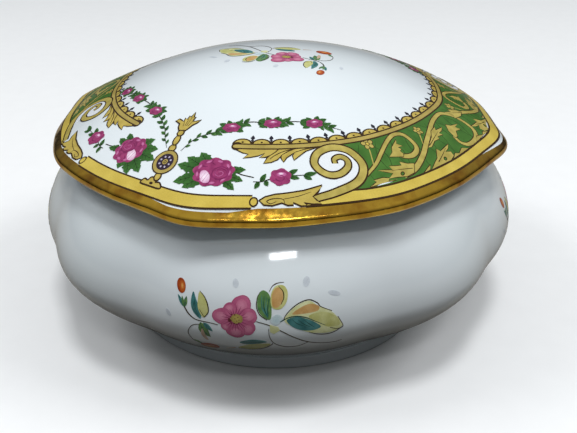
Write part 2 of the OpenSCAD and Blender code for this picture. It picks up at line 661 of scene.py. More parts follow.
@dataclass(frozen=True)
class Ink:
    """A ceramic colour, with how it is shaded over the shape that it fills.

    ROUND goes from the tone at a shape's middle to the shade at its edge, and ALONG from the
    tone at a shape's first point to the shade at the point furthest from it.
    """

    tone: str
    shade: str = ""
    blend: Blend = Blend.FLAT
    mottle_mm: float = 0.8

    def colours(self, places: np.ndarray, outline: np.ndarray) -> np.ndarray:
        """The ink's linear colour at each place.

        Args:
            places: Points of the sheet, one a row.
            outline: The outline of the shape that the ink fills.

        Returns:
            Linear RGBA, one a row.
        """
        tone = np.array(linear(self.tone))
        if self.blend is Blend.FLAT:
            return np.tile(tone, (len(places), 1))
        shade = np.array(linear(self.shade))
        if self.blend is Blend.MOTTLED:
            share = np.array([noise.noise(Vector((x, y, 7.3)) / self.mottle_mm) * 0.9 + 0.5
                              for x, y in places])
        elif self.blend is Blend.ROUND:
            middle = outline.mean(0)
            reach = np.linalg.norm(outline - middle, axis=1).max()
            share = (np.linalg.norm(places - middle, axis=1) / reach) ** 1.3
        else:
            reach = np.linalg.norm(outline - outline[0], axis=1).max()
            share = np.linalg.norm(places - outline[0], axis=1) / reach
        share = np.clip(share, 0, 1)[:, None]
        return tone * (1 - share) + shade * share


def flow(points: Points, per: int = 6, loop: bool = False) -> list[Point]:
    """A smooth line through points (Catmull-Rom).

    Args:
        points: The points that it passes through.
        per: Number of steps between two points.
        loop: True if the line returns to its first point.

    Returns:
        The points of the line.
    """
    known = [np.array(p, float) for p in points]
    if loop:
        known = [known[-1], *known, known[0], known[1]]
    else:
        known = [2 * known[0] - known[1], *known, 2 * known[-1] - known[-2]]
    line = []
    for p0, p1, p2, p3 in zip(known, known[1:], known[2:], known[3:]):
        for k in range(per):
            t = k / per
            line.append(tuple(0.5 * (2 * p1 + (p2 - p0) * t + (2 * p0 - 5 * p1 + 4 * p2 - p3) * t * t
                                     + (3 * p1 - p0 - 3 * p2 + p3) * t ** 3)))
    if not loop:
        line.append(tuple(known[-2]))
    return line


def oval(centre: Point, rx: float, ry: float, turn: float = 0.0, count: int = 20,
         ruffle: float = 0.0, lobes: int = 0, phase: float = 0.0) -> list[Point]:
    """An oval, or a ruffled one.

    Args:
        centre: Its middle.
        rx: Half its length.
        ry: Half its width.
        turn: Angle of its length.
        count: Number of points.
        ruffle: Share by which the lobes stand out.
        lobes: Number of lobes round it.
        phase: Angle of the first lobe.

    Returns:
        The outline.
    """
    c, s = math.cos(math.radians(turn)), math.sin(math.radians(turn))
    line = []
    for k in range(count):
        a = math.tau * k / count
        out = 1 + ruffle * abs(math.sin(lobes * a / 2 + math.radians(phase))) - ruffle / 2
        x, y = rx * out * math.cos(a), ry * out * math.sin(a)
        line.append((centre[0] + x * c - y * s, centre[1] + x * s + y * c))
    return line


def band_of(line: Points, widths: Sequence[float]) -> list[Point]:
    """The outline of a stroke.

    Args:
        line: Its middle line.
        widths: Its width at each point, or at evenly spread places.

    Returns:
        Up one side and back down the other.
    """
    middle = np.array(line, float)
    ahead = np.gradient(middle, axis=0)
    ahead /= np.maximum(np.linalg.norm(ahead, axis=1), 1e-9)[:, None]
    side = np.stack([-ahead[:, 1], ahead[:, 0]], 1)
    spread = np.interp(np.linspace(0, 1, len(middle)), np.linspace(0, 1, len(widths)), widths)
    left = middle + side * spread[:, None] / 2
    right = middle - side * spread[:, None] / 2
    return [tuple(p) for p in np.concatenate([left, right[::-1]])]


@dataclass
class Sheet:
    """A flat sheet of transfer: shapes in paint order, each with its ink."""

    shapes: list[tuple[np.ndarray, Ink]] = field(default_factory=list)
    row_step: float = 0.866
    weld: float = 1e-5

    def winding(self, outline: np.ndarray, places: np.ndarray) -> np.ndarray:
        """How many times an outline goes round each place.

        Args:
            outline: The outline's points, one a row.
            places: The places, one a row.

        Returns:
            The count at each place.
        """
        turns = np.zeros(len(places), int)
        px, py = places[:, 0], places[:, 1]
        for (x0, y0), (x1, y1) in zip(outline, np.roll(outline, -1, axis=0)):
            side = (x1 - x0) * (py - y0) - (px - x0) * (y1 - y0)
            turns += (y0 <= py) & (y1 > py) & (side > 0)
            turns -= (y0 > py) & (y1 <= py) & (side < 0)
        return turns

    def owners(self, places: np.ndarray) -> np.ndarray:
        """The topmost shape at each place, or -1 where there is none.

        Args:
            places: The places, one a row.

        Returns:
            The number of the shape at each place.
        """
        found = np.full(len(places), -1)
        for k in range(len(self.shapes) - 1, -1, -1):
            outline = self.shapes[k][0]
            low, high = outline.min(0), outline.max(0)
            near = np.flatnonzero((found < 0) & (places >= low).all(1) & (places <= high).all(1))
            if len(near):
                inside = self.winding(outline, places[near]) != 0
                found[near[inside]] = k
        return found

    def cut(self, pitch: float) -> tuple[np.ndarray, list, np.ndarray]:
        """Cuts the sheet into triangles along the edge of every shape.

        Args:
            pitch: Largest spacing of the points inside a shape.

        Returns:
            The points, the triangles, and the shape that each triangle shows.
        """
        spots, edges = [], []
        for outline, _ in self.shapes:
            first = len(spots)
            spots.extend(Vector(p) for p in outline)
            count = len(outline)
            edges.extend((first + k, first + (k + 1) % count) for k in range(count))
        every = np.concatenate([outline for outline, _ in self.shapes])
        low, high = every.min(0), every.max(0)
        columns = np.arange(low[0], high[0], pitch)
        rows = np.arange(low[1], high[1], pitch * self.row_step)
        grid = np.array([(x + (k % 2) * pitch / 2, y) for k, y in enumerate(rows) for x in columns])
        grid = grid[self.owners(grid) >= 0] if len(grid) else grid
        spots.extend(Vector(p) for p in grid)
        points, _, faces, _, _, _ = delaunay_2d_cdt(spots, edges, [], 0, self.weld, False)
        points = np.array([tuple(p) for p in points])
        corners = np.array([f[:3] for f in faces])
        owner = self.owners(points[corners].mean(1))
        kept = owner >= 0
        return points, corners[kept].tolist(), owner[kept]

    def lay(self, name: str, place: Callable[[float, float, float], Place],
            lift: float, pitch: float = 1.0, thick: float = 0.03) -> bpy.types.Object:
        """Lays the sheet on the glaze as a thin closed film.

        Args:
            name: The piece's name.
            place: Gives x, y and z in mm from a point of the sheet and its lift off the glaze.
            lift: Distance from the glaze to the underside of the film.
            pitch: Largest spacing of the points inside a shape.
            thick: Thickness of the film.

        Returns:
            The new piece.
        """
        points, triangles, owner = self.cut(pitch)
        used = sorted({k for t in triangles for k in t})
        index = {k: n for n, k in enumerate(used)}
        film = bpy.data.meshes.new(name)
        film.from_pydata([Vector(place(*points[k], lift)) * MM for k in used], [],
                         [[index[k] for k in t] for t in triangles])
        ink = film.color_attributes.new("ink", "FLOAT_COLOR", "CORNER")
        corners = np.array(triangles)
        shown = np.zeros((len(triangles), 3, 4))
        for k in np.unique(owner):
            mine = np.flatnonzero(owner == k)
            outline, colour = self.shapes[k]
            flat = colour.colours(points[corners[mine]].reshape(-1, 2), outline)
            shown[mine] = flat.reshape(-1, 3, 4)
        ink.data.foreach_set("color", shown.astype(np.float32).ravel())
        piece = bpy.data.objects.new(name, film)
        bpy.context.scene.collection.objects.link(piece)
        only_select(piece)
        body = piece.modifiers.new("film", "SOLIDIFY")
        body.thickness = thick * MM
        body.offset = 1.0
        bpy.ops.object.modifier_apply(modifier=body.name)
        smooth(piece)
        return piece


@dataclass(frozen=True)
class Pen:
    """Draws on a sheet in a frame of its own: x to the right and y up, in millimetres."""

    sheet: Sheet
    at: Point = (0.0, 0.0)
    turn: float = 0.0
    size: float = 1.0
    flip: bool = False

    def there(self, points: Points) -> np.ndarray:
        """The points of this pen's frame, on the sheet.

        Args:
            points: Points of the pen's frame.

        Returns:
            The same points on the sheet, one a row.
        """
        p = np.array(points, float) * self.size
        if self.flip:
            p = p * (-1, 1)
        c, s = math.cos(math.radians(self.turn)), math.sin(math.radians(self.turn))
        return np.stack([p[:, 0] * c - p[:, 1] * s, p[:, 0] * s + p[:, 1] * c], 1) + self.at

    def move(self, at: Point, turn: float = 0.0, size: float = 1.0) -> "Pen":
        """A pen in a frame that is placed in this one.

        Args:
            at: Its origin.
            turn: Its turn.
            size: Its scale.

        Returns:
            The new pen.
        """
        place = tuple(self.there([at])[0])
        hand = -turn if self.flip else turn
        return Pen(self.sheet, place, self.turn + hand, self.size * size, self.flip)

    def fill(self, points: Points, ink: Ink) -> None:
        """Paints the inside of an outline."""
        self.sheet.shapes.append((self.there(points), ink))

    def petal(self, points: Points, ink: Ink) -> None:
        """Paints the inside of a smooth outline."""
        self.fill(flow(points, 4, loop=True), ink)

    def stroke(self, line: Points, width: float | Sequence[float], ink: Ink) -> None:
        """Paints a line of one width, or of several widths along it.

        Args:
            line: The middle line.
            width: The width, or widths spread evenly along it.
            ink: The colour.
        """
        widths = [width] if isinstance(width, (int, float)) else width
        if len(widths) == 1:
            widths = [widths[0]] * 2
        self.fill(band_of(line, widths), ink)

    def edged(self, points: Points, ink: Ink, line: Ink, width: float) -> None:
        """Paints an outline's inside, with a line round its edge.

        Args:
            points: The outline.
            ink: The colour inside.
            line: The colour of the line.
            width: The line's width.
        """
        closed = [*points, points[0], points[1]]
        self.stroke(closed, width, line)
        self.fill(points, ink)
        self.stroke(closed, width * INNER_LINE, line)

    def ribbon(self, line: Points, widths: Sequence[float], ink: Ink, edge: Ink,
               edge_width: float) -> None:
        """Paints a stroke with a line along both its edges."""
        self.stroke(line, [w + edge_width * 2 for w in widths], edge)
        self.stroke(line, widths, ink)


@dataclass(frozen=True)
class Palette:
    """The transfer maker's inks."""

    gold: Ink = Ink("#d0b955", "#bfa644", Blend.MOTTLED, 2.5)
    gold_leaf: Ink = Ink("#c4ae58", "#aa9442", Blend.MOTTLED, 1.2)
    strip_gold: Ink = Ink("#b39f56", "#9d8a46", Blend.MOTTLED, 1.6)
    line: Ink = Ink("#36230a")
    ground: Ink = Ink("#48742e", "#386122", Blend.MOTTLED, 1.4)
    ground_line: Ink = Ink("#1f380d")
    panel_gold: Ink = Ink("#bcab5a", "#9f8f45", Blend.MOTTLED, 1.0)
    finial: Ink = Ink("#22202c")
    purple: Ink = Ink("#2e2030")
    white: Ink = Ink("#dfe3e6")
    petal: Ink = Ink("#b8b2c6")
    leaf: Ink = Ink("#1a3f12", "#3f7030", Blend.ALONG)
    leaf_light: Ink = Ink("#28561a", "#5c8a46", Blend.ALONG)
    leaf_line: Ink = Ink("#14280b")
    stem: Ink = Ink("#2c281c")
    rose: Ink = Ink("#9e3c6c", "#822a58", Blend.MOTTLED, 0.7)
    rose_deep: Ink = Ink("#6c1c48", "#862a5e", Blend.MOTTLED, 0.5)
    rose_pale: Ink = Ink("#c2749f", "#a84a80", Blend.ROUND)
    rose_light: Ink = Ink("#efe0ea", "#c88ab2", Blend.ROUND)


INK = Palette()
LINE_W = 0.27
INNER_LINE = 0.55


def leaf(pen: Pen, base: Point, tip: Point, width: float, ink: Ink, rib: Ink | None = None,
         teeth: int = 0, bend: float = 0.0) -> None:
    """Draws a leaf.

    Args:
        pen: The pen to draw with.
        base: Where the leaf springs from.
        tip: Its tip.
        width: Its greatest width.
        ink: Its colour, which goes from base to tip.
        rib: The colour of its midrib, if it has one.
        teeth: Number of teeth along each side.
        bend: How far its middle bows to the left, as a share of its length.
    """
    root, end = np.array(base, float), np.array(tip, float)
    run = end - root
    side = np.array([-run[1], run[0]])
    length = np.linalg.norm(run)
    steps = max(8, teeth * 4)
    notch = 0.34
    middle, left, right = [], [], []
    for k in range(steps + 1):
        t = k / steps
        spine = root + run * t + side * bend * 4 * t * (1 - t)
        half = width / 2 * math.sin(math.pi * t ** 0.8) ** 0.85
        if teeth:
            half *= 1 - notch * ((t * teeth) % 1.0)
        normal = side / length
        middle.append(tuple(spine))
        left.append(tuple(spine + normal * half))
        right.append(tuple(spine - normal * half))
    pen.fill([*left, *right[-2:0:-1]], ink)
    if rib:
        pen.stroke(middle[:-1], [0.12, 0.05], rib)
        for k in range(2, steps - 2, 3):
            for flank in (left, right):
                ahead = min(k + 2, steps - 1)
                vein = [middle[k], tuple(0.35 * np.array(middle[ahead])
                                         + 0.65 * np.array(flank[ahead]))]
                pen.stroke(vein, [0.07, 0.04], rib)


# Roses, sprays and scrollwork

@dataclass(frozen=True)
class CabbageRose:
    """A full-blown rose in magenta: ruffled outer petals, a pale cheek and a tight heart."""

    half_w: float = 3.4
    half_h: float = 2.5
    cheek: Point = (-1.2, -0.9)
    heart: Point = (1.2, -0.2)

    def draw(self, pen: Pen) -> None:
        """Draws the rose round the pen's origin.

        Args:
            pen: The pen to draw with.
        """
        w, h = self.half_w, self.half_h
        unit = h / 2.5
        pen.fill(oval((0, 0), w, h, count=44, ruffle=0.16, lobes=9, phase=20), INK.rose)
        self.petals(pen, unit)
        cx, cy = self.cheek
        pen.petal([(cx - 0.9 * unit, cy + 0.8 * unit), (cx - 0.1 * unit, cy + 1.0 * unit),
                   (cx + 0.8 * unit, cy + 0.2 * unit), (cx + 1.0 * unit, cy - 1.0 * unit),
                   (cx + 0.0 * unit, cy - 1.1 * unit), (cx - 0.7 * unit, cy - 0.3 * unit)],
                  INK.rose_light)
        for k in range(2):
            x = cx + (-0.35 + 0.6 * k) * unit
            pen.stroke(flow([(x - 0.3 * unit, cy - 0.95 * unit), (x, cy - 0.2 * unit),
                             (x + 0.35 * unit, cy + 0.7 * unit)], 4), [0.12 * unit, 0.03],
                       INK.rose_pale)
        self.heart_swirl(pen, unit)

    def petals(self, pen: Pen, unit: float) -> None:
        """Draws the folds between the outer petals.

        Args:
            pen: The pen to draw with.
            unit: Scale of the petals.
        """
        w, h = self.half_w, self.half_h
        for k in range(9):
            a = 20 + 40 * k
            x, y = math.cos(math.radians(a)), math.sin(math.radians(a))
            rim = (x * w * 0.93, y * h * 0.93)
            inner = (x * w * 0.52 + self.heart[0] * 0.2, y * h * 0.52 + self.heart[1] * 0.2)
            bow = (x * w * 0.74 - y * 0.35 * unit, y * h * 0.74 + x * 0.35 * unit)
            pen.stroke(flow([rim, bow, inner], 4), [0.1 * unit, 0.3 * unit, 0.06], INK.rose_deep)
            lit = math.cos(math.radians(a + 18)), math.sin(math.radians(a + 18))
            pen.fill(oval((lit[0] * w * 0.8, lit[1] * h * 0.8), 0.5 * unit, 0.2 * unit,
                          turn=a + 108, count=12), INK.rose_pale)

    def heart_swirl(self, pen: Pen, unit: float) -> None:
        """Draws the tight petals of the heart as a spiral.

        Args:
            pen: The pen to draw with.
            unit: Scale of the petals.
        """
        hx, hy = self.heart
        pen.fill(oval((hx, hy), 1.5 * unit, 1.25 * unit, count=24, ruffle=0.1, lobes=6),
                 INK.rose_deep)
        pen.fill(oval((hx, hy + 0.05 * unit), 1.25 * unit, 1.0 * unit, count=20), INK.rose)
        turns = [(hx + (1.15 - 0.05 * k) * unit * math.cos(0.5 * k),
                  hy + (0.92 - 0.04 * k) * unit * math.sin(0.5 * k)) for k in range(21)]
        pen.stroke(turns, [0.2 * unit, 0.12 * unit], INK.rose_deep)
        pale = [(hx + (0.92 - 0.05 * k) * unit * math.cos(0.5 * k + 2.4),
                 hy + (0.74 - 0.04 * k) * unit * math.sin(0.5 * k + 2.4)) for k in range(14)]
        pen.stroke(pale, [0.05, 0.16 * unit, 0.05], INK.rose_pale)


@dataclass(frozen=True)
class BudRose:
    """A small rose of the garlands and side sprays."""

    half_w: float = 1.3
    half_h: float = 0.95

    def draw(self, pen: Pen) -> None:
        """Draws the rose round the pen's origin.

        Args:
            pen: The pen to draw with.
        """
        w, h = self.half_w, self.half_h
        pen.fill(oval((0, 0), w, h, count=26, ruffle=0.2, lobes=6, phase=35), INK.rose)
        for k in range(6):
            a = math.radians(30 + 60 * k)
            pen.stroke([(w * 0.9 * math.cos(a), h * 0.9 * math.sin(a)),
                        (w * 0.45 * math.cos(a + 0.5), h * 0.45 * math.sin(a + 0.5))],
                       [0.08 * h, 0.2 * h, 0.05], INK.rose_deep)
        pen.fill(oval((w * 0.1, h * 0.3), w * 0.5, h * 0.28, count=14), INK.rose_pale)
        pen.fill(oval((w * 0.05, h * 0.38), w * 0.26, h * 0.13, count=10), INK.rose_light)
        swirl = [(w * (0.5 - 0.03 * k) * math.cos(0.6 * k + 3.3),
                  h * (0.5 - 0.03 * k) * math.sin(0.6 * k + 3.3) - 0.1 * h) for k in range(9)]
        pen.stroke(swirl, [0.16 * h, 0.08 * h], INK.rose_deep)


@dataclass(frozen=True)
class Spray:
    """The painterly spray of the bowl and the crown: an open flower, two buds and soft leaves."""

    pink: Ink = Ink("#bd6586", "#a74e72", Blend.MOTTLED, 1.1)
    pink_pale: Ink = Ink("#cf869e", "#ba6684", Blend.ROUND)
    pink_edge: Ink = Ink("#9c4868", "#ac5a78", Blend.MOTTLED, 0.9)
    pink_deep: Ink = Ink("#8c3a5e")
    eye: Ink = Ink("#b3a257", "#8d7a3d", Blend.ROUND)
    eye_dot: Ink = Ink("#5a1c26")
    teal: Ink = Ink("#286061", "#4f8886", Blend.MOTTLED, 1.2)
    teal_dark: Ink = Ink("#1f4a44")
    green: Ink = Ink("#3d6a3f", "#6c8f51", Blend.MOTTLED, 0.8)
    lime: Ink = Ink("#c9c98a", "#b3b267", Blend.MOTTLED, 1.2)
    lemon: Ink = Ink("#dbdcae", "#c6c88a", Blend.MOTTLED, 1.4)
    ochre: Ink = Ink("#b98d52", "#c9a36c", Blend.MOTTLED, 1.0)
    tan: Ink = Ink("#cdb9a2", "#bf9f86", Blend.MOTTLED, 1.0)
    mist: Ink = Ink("#bfc6cc", "#cfd5da", Blend.ROUND)
    pale_teal: Ink = Ink("#b5cdd0", "#cddadb", Blend.ROUND)
    outline: Ink = Ink("#3a2f1a")
    bud_red: Ink = Ink("#8c3213", "#a84a1c", Blend.MOTTLED, 0.6)
    bud_orange: Ink = Ink("#c2682c", "#a84a1c", Blend.ROUND)
    bud_glow: Ink = Ink("#d9a45a", "#c2682c", Blend.ROUND)

    def draw(self, pen: Pen) -> None:
        """Draws the whole spray round the middle of its flower.

        Args:
            pen: The pen to draw with.
        """
        self.shadow_leaves(pen)
        self.stems(pen)
        self.left_side(pen)
        self.upper_pair(pen)
        self.great_leaf(pen)
        self.low_leaf(pen)
        self.flower(pen)

    def shadow_leaves(self, pen: Pen) -> None:
        """Draws the faint grey leaves behind the spray.

        Args:
            pen: The pen to draw with.
        """
        for x, y, rx, ry, turn in ((-0.1, 6.2, 0.5, 0.8, 10), (11.8, 6.4, 0.6, 0.9, 0),
                                   (16.8, 3.9, 1.2, 0.4, -20), (-12.4, -0.9, 0.4, 0.7, 30)):
            pen.fill(oval((x, y), rx, ry, turn, 16), self.mist)

    def stems(self, pen: Pen) -> None:
        """Draws the brown stems that sweep out under the great leaf.

        Args:
            pen: The pen to draw with.
        """
        pen.stroke(flow([(3.6, -0.2), (5.8, -0.9), (7.9, -2.1), (10.2, -3.7), (12.5, -5.2),
                         (14.9, -6.2), (17.0, -6.5), (18.4, -6.2)]), [0.12, 0.2, 0.12],
                   self.outline)
        pen.stroke(flow([(5.7, -1.5), (5.8, -3.1), (6.4, -4.8), (7.7, -6.0), (9.2, -6.5),
                         (10.7, -6.2), (12.3, -5.2)]), [0.1, 0.16, 0.1], self.outline)
        pen.fill([(5.9, -0.8), (7.3, -1.2), (7.6, -1.9), (6.6, -2.6), (5.9, -2.2)], self.lemon)

    def left_side(self, pen: Pen) -> None:
        """Draws the two buds, the leaf pair and the curled sprig on the left.

        Args:
            pen: The pen to draw with.
        """
        pen.stroke(flow([(-9.3, 1.2), (-8.4, -0.1), (-7.3, -0.9), (-6.2, -1.1), (-4.3, -1.2),
                         (-3.0, -1.4)]), [0.3, 0.16, 0.12], self.outline)
        leaf(pen, (-9.2, 0.9), (-10.4, 2.9), 0.7, self.teal, self.teal_dark)
        leaf(pen, (-9.1, 0.9), (-8.7, 2.9), 0.7, self.green, self.teal_dark)
        leaf(pen, (-9.2, 0.8), (-9.6, 2.8), 0.5, self.green)
        self.bud(pen.move((-9.8, 4.5), 8))
        pen.petal([(-6.1, -0.7), (-7.4, 0.3), (-7.9, 1.8), (-7.5, 3.9), (-6.9, 2.6), (-6.1, 0.8)],
                  self.teal)
        for k in range(3):
            pen.stroke(flow([(-6.3 - 0.1 * k, -0.4), (-7.0 - 0.25 * k, 1.0), (-7.2, 2.9 - 0.3 * k)]),
                       [0.05, 0.14, 0.04], self.teal_dark)
        pen.petal([(-5.6, -0.4), (-6.5, 1.0), (-6.6, 2.6), (-6.3, 4.1), (-5.3, 3.2), (-4.8, 1.9),
                   (-4.8, 0.6)], self.lime)
        pen.stroke(flow([(-6.3, 4.2), (-5.4, 3.3), (-4.8, 2.0), (-4.7, 0.7), (-5.4, -0.3)]),
                   [0.1, 0.22, 0.14], self.outline)
        pen.stroke([(-6.3, 1.0), (-5.4, -0.3)], [0.08, 0.16], self.outline)
        leaf(pen, (-6.2, -1.4), (-4.5, -4.4), 1.7, self.green, self.teal_dark, bend=-0.08)
        leaf(pen, (-5.6, -1.4), (-4.0, -2.9), 0.9, self.teal, self.teal_dark)
        pen.stroke(flow([(-6.3, -1.8), (-7.7, -2.3), (-8.6, -3.7), (-8.6, -5.2), (-8.0, -6.6),
                         (-7.2, -7.3)]), [0.1, 0.16, 0.1], self.outline)
        pen.petal([(-5.9, -2.6), (-6.2, -3.9), (-5.6, -5.2), (-5.0, -5.4), (-5.4, -4.0)], self.tan)
        leaf(pen, (-6.6, -7.6), (-7.9, -6.4), 0.7, self.green, self.teal_dark)
        self.bud(pen.move((-5.2, -8.2), -82, 1.4))

    def bud(self, pen: Pen) -> None:
        """Draws one orange bud, standing up from the pen's origin.

        Args:
            pen: The pen to draw with.
        """
        pen.fill(oval((0, 0), 0.85, 1.3, count=22), self.bud_red)
        pen.fill(oval((0.18, -0.1), 0.55, 1.05, count=18), self.bud_orange)
        pen.fill(oval((0.2, -0.05), 0.2, 0.55, count=12), self.bud_glow)
        pen.stroke([(-0.15, 0.95), (-0.25, -0.8)], [0.05, 0.12, 0.05], self.bud_red)

    def upper_pair(self, pen: Pen) -> None:
        """Draws the dark green leaf and the ochre one above the flower's right side.

        Args:
            pen: The pen to draw with.
        """
        pen.petal([(5.5, 0.2), (4.3, 1.1), (3.7, 2.6), (3.9, 4.6), (4.7, 5.2), (5.7, 4.4),
                   (6.1, 2.6), (6.1, 0.5)], self.green)
        for k in range(4):
            pen.stroke(flow([(5.6, 0.5), (4.6 + 0.3 * k, 2.1), (4.4 + 0.4 * k, 4.4 - 0.2 * k)]),
                       [0.06, 0.2, 0.05], self.teal_dark if k % 2 else self.teal)
        pen.stroke(flow([(5.4, 0.1), (4.2, 1.0), (3.6, 2.4), (3.7, 4.0), (4.1, 4.9)]),
                   [0.12, 0.16, 0.08], self.outline)
        pen.petal([(6.2, 2.3), (5.9, 4.2), (6.5, 5.8), (7.9, 6.0), (8.7, 4.9), (8.6, 3.2),
                   (7.6, 2.0)], self.lime)
        pen.petal([(6.3, 2.5), (6.1, 4.3), (6.6, 5.5), (7.4, 5.6), (7.9, 4.7), (7.9, 3.4),
                   (7.2, 2.3)], self.ochre)
        pen.stroke(flow([(7.1, 5.9), (7.9, 5.0), (8.1, 3.9), (7.7, 2.8)]), [0.08, 0.2, 0.1],
                   self.outline)
        pen.stroke(flow([(5.6, 4.9), (6.1, 5.9), (7.0, 6.4), (8.0, 6.5)]), [0.08, 0.18, 0.1],
                   self.outline)
        pen.petal([(5.9, 0.0), (7.0, 1.1), (8.1, 0.4), (7.0, -0.9)], self.pale_teal)

    def great_leaf(self, pen: Pen) -> None:
        """Draws the great leaf on the right, with its turned-over upper half.

        Args:
            pen: The pen to draw with.
        """
        pen.petal([(8.3, 0.0), (9.4, 1.7), (11.0, 2.8), (12.6, 3.1), (14.3, 1.9), (16.4, 0.8),
                   (17.9, -0.9), (18.5, -2.2), (16.5, -3.2), (14.0, -3.0), (12.0, -2.4),
                   (9.8, -1.3)], self.lemon)
        pen.petal([(9.6, 1.0), (11.0, 2.1), (12.6, 2.6), (14.1, 2.1), (14.0, 1.3), (12.1, 1.0)],
                  self.ochre)
        pen.petal([(12.4, 0.5), (15.2, 0.9), (17.4, -0.4), (17.9, -2.0), (15.9, -2.0),
                   (14.3, -1.0)], self.lime)
        pen.petal([(8.7, 0.0), (10.2, 0.5), (11.9, 0.1), (13.5, -0.7), (14.6, -1.8), (13.2, -2.3),
                   (11.3, -2.1), (9.6, -1.2)], self.teal)
        for k in range(3):
            pen.stroke(flow([(9.6 + k, 0.1 - 0.1 * k), (10.6 + k, -0.8 - 0.1 * k),
                             (12.0 + 0.8 * k, -1.4 - 0.2 * k)]), [0.06, 0.16, 0.05],
                       self.teal_dark)
        pen.stroke(flow([(7.6, -0.3), (8.9, 0.4), (10.4, 0.6), (12.1, 0.2), (13.6, -0.6),
                         (15.4, -1.6)]), [0.16, 0.24, 0.08], self.teal_dark)
        pen.stroke(flow([(8.2, 0.1), (8.6, 1.0), (9.6, 2.1), (11.0, 3.0), (12.5, 3.3),
                         (13.9, 2.6), (14.5, 1.9), (16.5, 0.9)]), [0.12, 0.2, 0.12], self.outline)
        pen.stroke(flow([(17.6, -0.3), (18.6, -2.3), (17.6, -2.7), (16.2, -2.2)]), 0.14,
                   self.outline)
        pen.stroke(flow([(12.5, -2.6), (13.9, -3.2), (15.4, -3.5), (17.0, -3.3), (18.6, -2.4)]),
                   [0.08, 0.18, 0.1], self.outline)

    def low_leaf(self, pen: Pen) -> None:
        """Draws the teal and ochre leaf under the flower.

        Args:
            pen: The pen to draw with.
        """
        pen.petal([(0.2, -6.9), (2.2, -5.6), (4.4, -5.2), (5.9, -5.2), (4.6, -6.6), (2.6, -7.4),
                   (0.6, -7.4)], self.lime)
        pen.petal([(0.6, -4.9), (2.4, -4.1), (4.1, -4.1), (5.3, -4.6), (3.6, -5.2), (1.4, -5.5)],
                  self.teal)
        pen.stroke([(1.2, -5.0), (4.6, -4.6)], [0.06, 0.2, 0.06], self.teal_dark)
        pen.stroke(flow([(0.5, -7.4), (2.7, -7.6), (4.7, -6.8), (6.1, -5.4), (6.2, -5.0)]),
                   [0.1, 0.2, 0.12], self.outline)
        pen.stroke([(-2.2, -8.3), (-0.4, -7.3)], [0.05, 0.3], self.tan)

    def flower(self, pen: Pen) -> None:
        """Draws the open pink flower with its dotted eye.

        Args:
            pen: The pen to draw with.
        """
        petals = ((1.0, 2.3, 1.6, 1.9, -10), (-0.9, 1.7, 1.2, 1.1, 30), (-2.2, 0.3, 1.65, 1.45, 0),
                  (2.1, 0.6, 1.6, 1.4, 20), (2.0, -1.5, 1.4, 1.35, -30), (0.1, -2.2, 1.6, 1.4, 0),
                  (-1.5, -1.4, 0.9, 0.9, 0))
        pen.fill(oval((0.1, 0.0), 2.2, 2.2, count=24), self.pink)
        for x, y, rx, ry, turn in petals:
            pen.fill(oval((x, y), rx * 1.05, ry * 1.05, turn, 26, 0.1, 3), self.pink_edge)
            pen.fill(oval((x, y), rx * 0.97, ry * 0.97, turn, 26, 0.1, 3), self.pink)
            pen.fill(oval((x * 1.12, y * 1.12), rx * 0.6, ry * 0.55, turn, 16), self.pink_pale)
        for x, y, _, _, _ in petals:
            for k in (-1, 0, 1):
                fold = math.radians(16 * k)
                ray = (x * math.cos(fold) - y * math.sin(fold),
                       x * math.sin(fold) + y * math.cos(fold))
                pen.stroke([(ray[0] * 0.3, ray[1] * 0.3), (ray[0] * 1.05, ray[1] * 1.05)],
                           [0.26, 0.03], self.pink_deep)
        pen.fill(oval((0.3, 0.1), 1.05, 0.85, 0, 22, 0.14, 5), self.eye)
        pen.fill(oval((-0.9, -0.3), 0.34, 0.3, 0, 10), self.eye_dot)
        for k in range(9):
            a = math.radians(100 + 26 * k)
            reach = 0.95 + 0.2 * (k % 2)
            pen.fill(oval((0.1 + reach * math.cos(a), 0.85 * reach * math.sin(a)), 0.16, 0.13,
                          0, 8), self.eye_dot)
        for x, y in ((0.0, 0.1), (0.5, 0.4), (0.3, -0.3), (0.7, -0.1)):
            pen.fill(oval((x, y), 0.11, 0.09, 0, 8), self.eye_dot)


# The lid's decoration

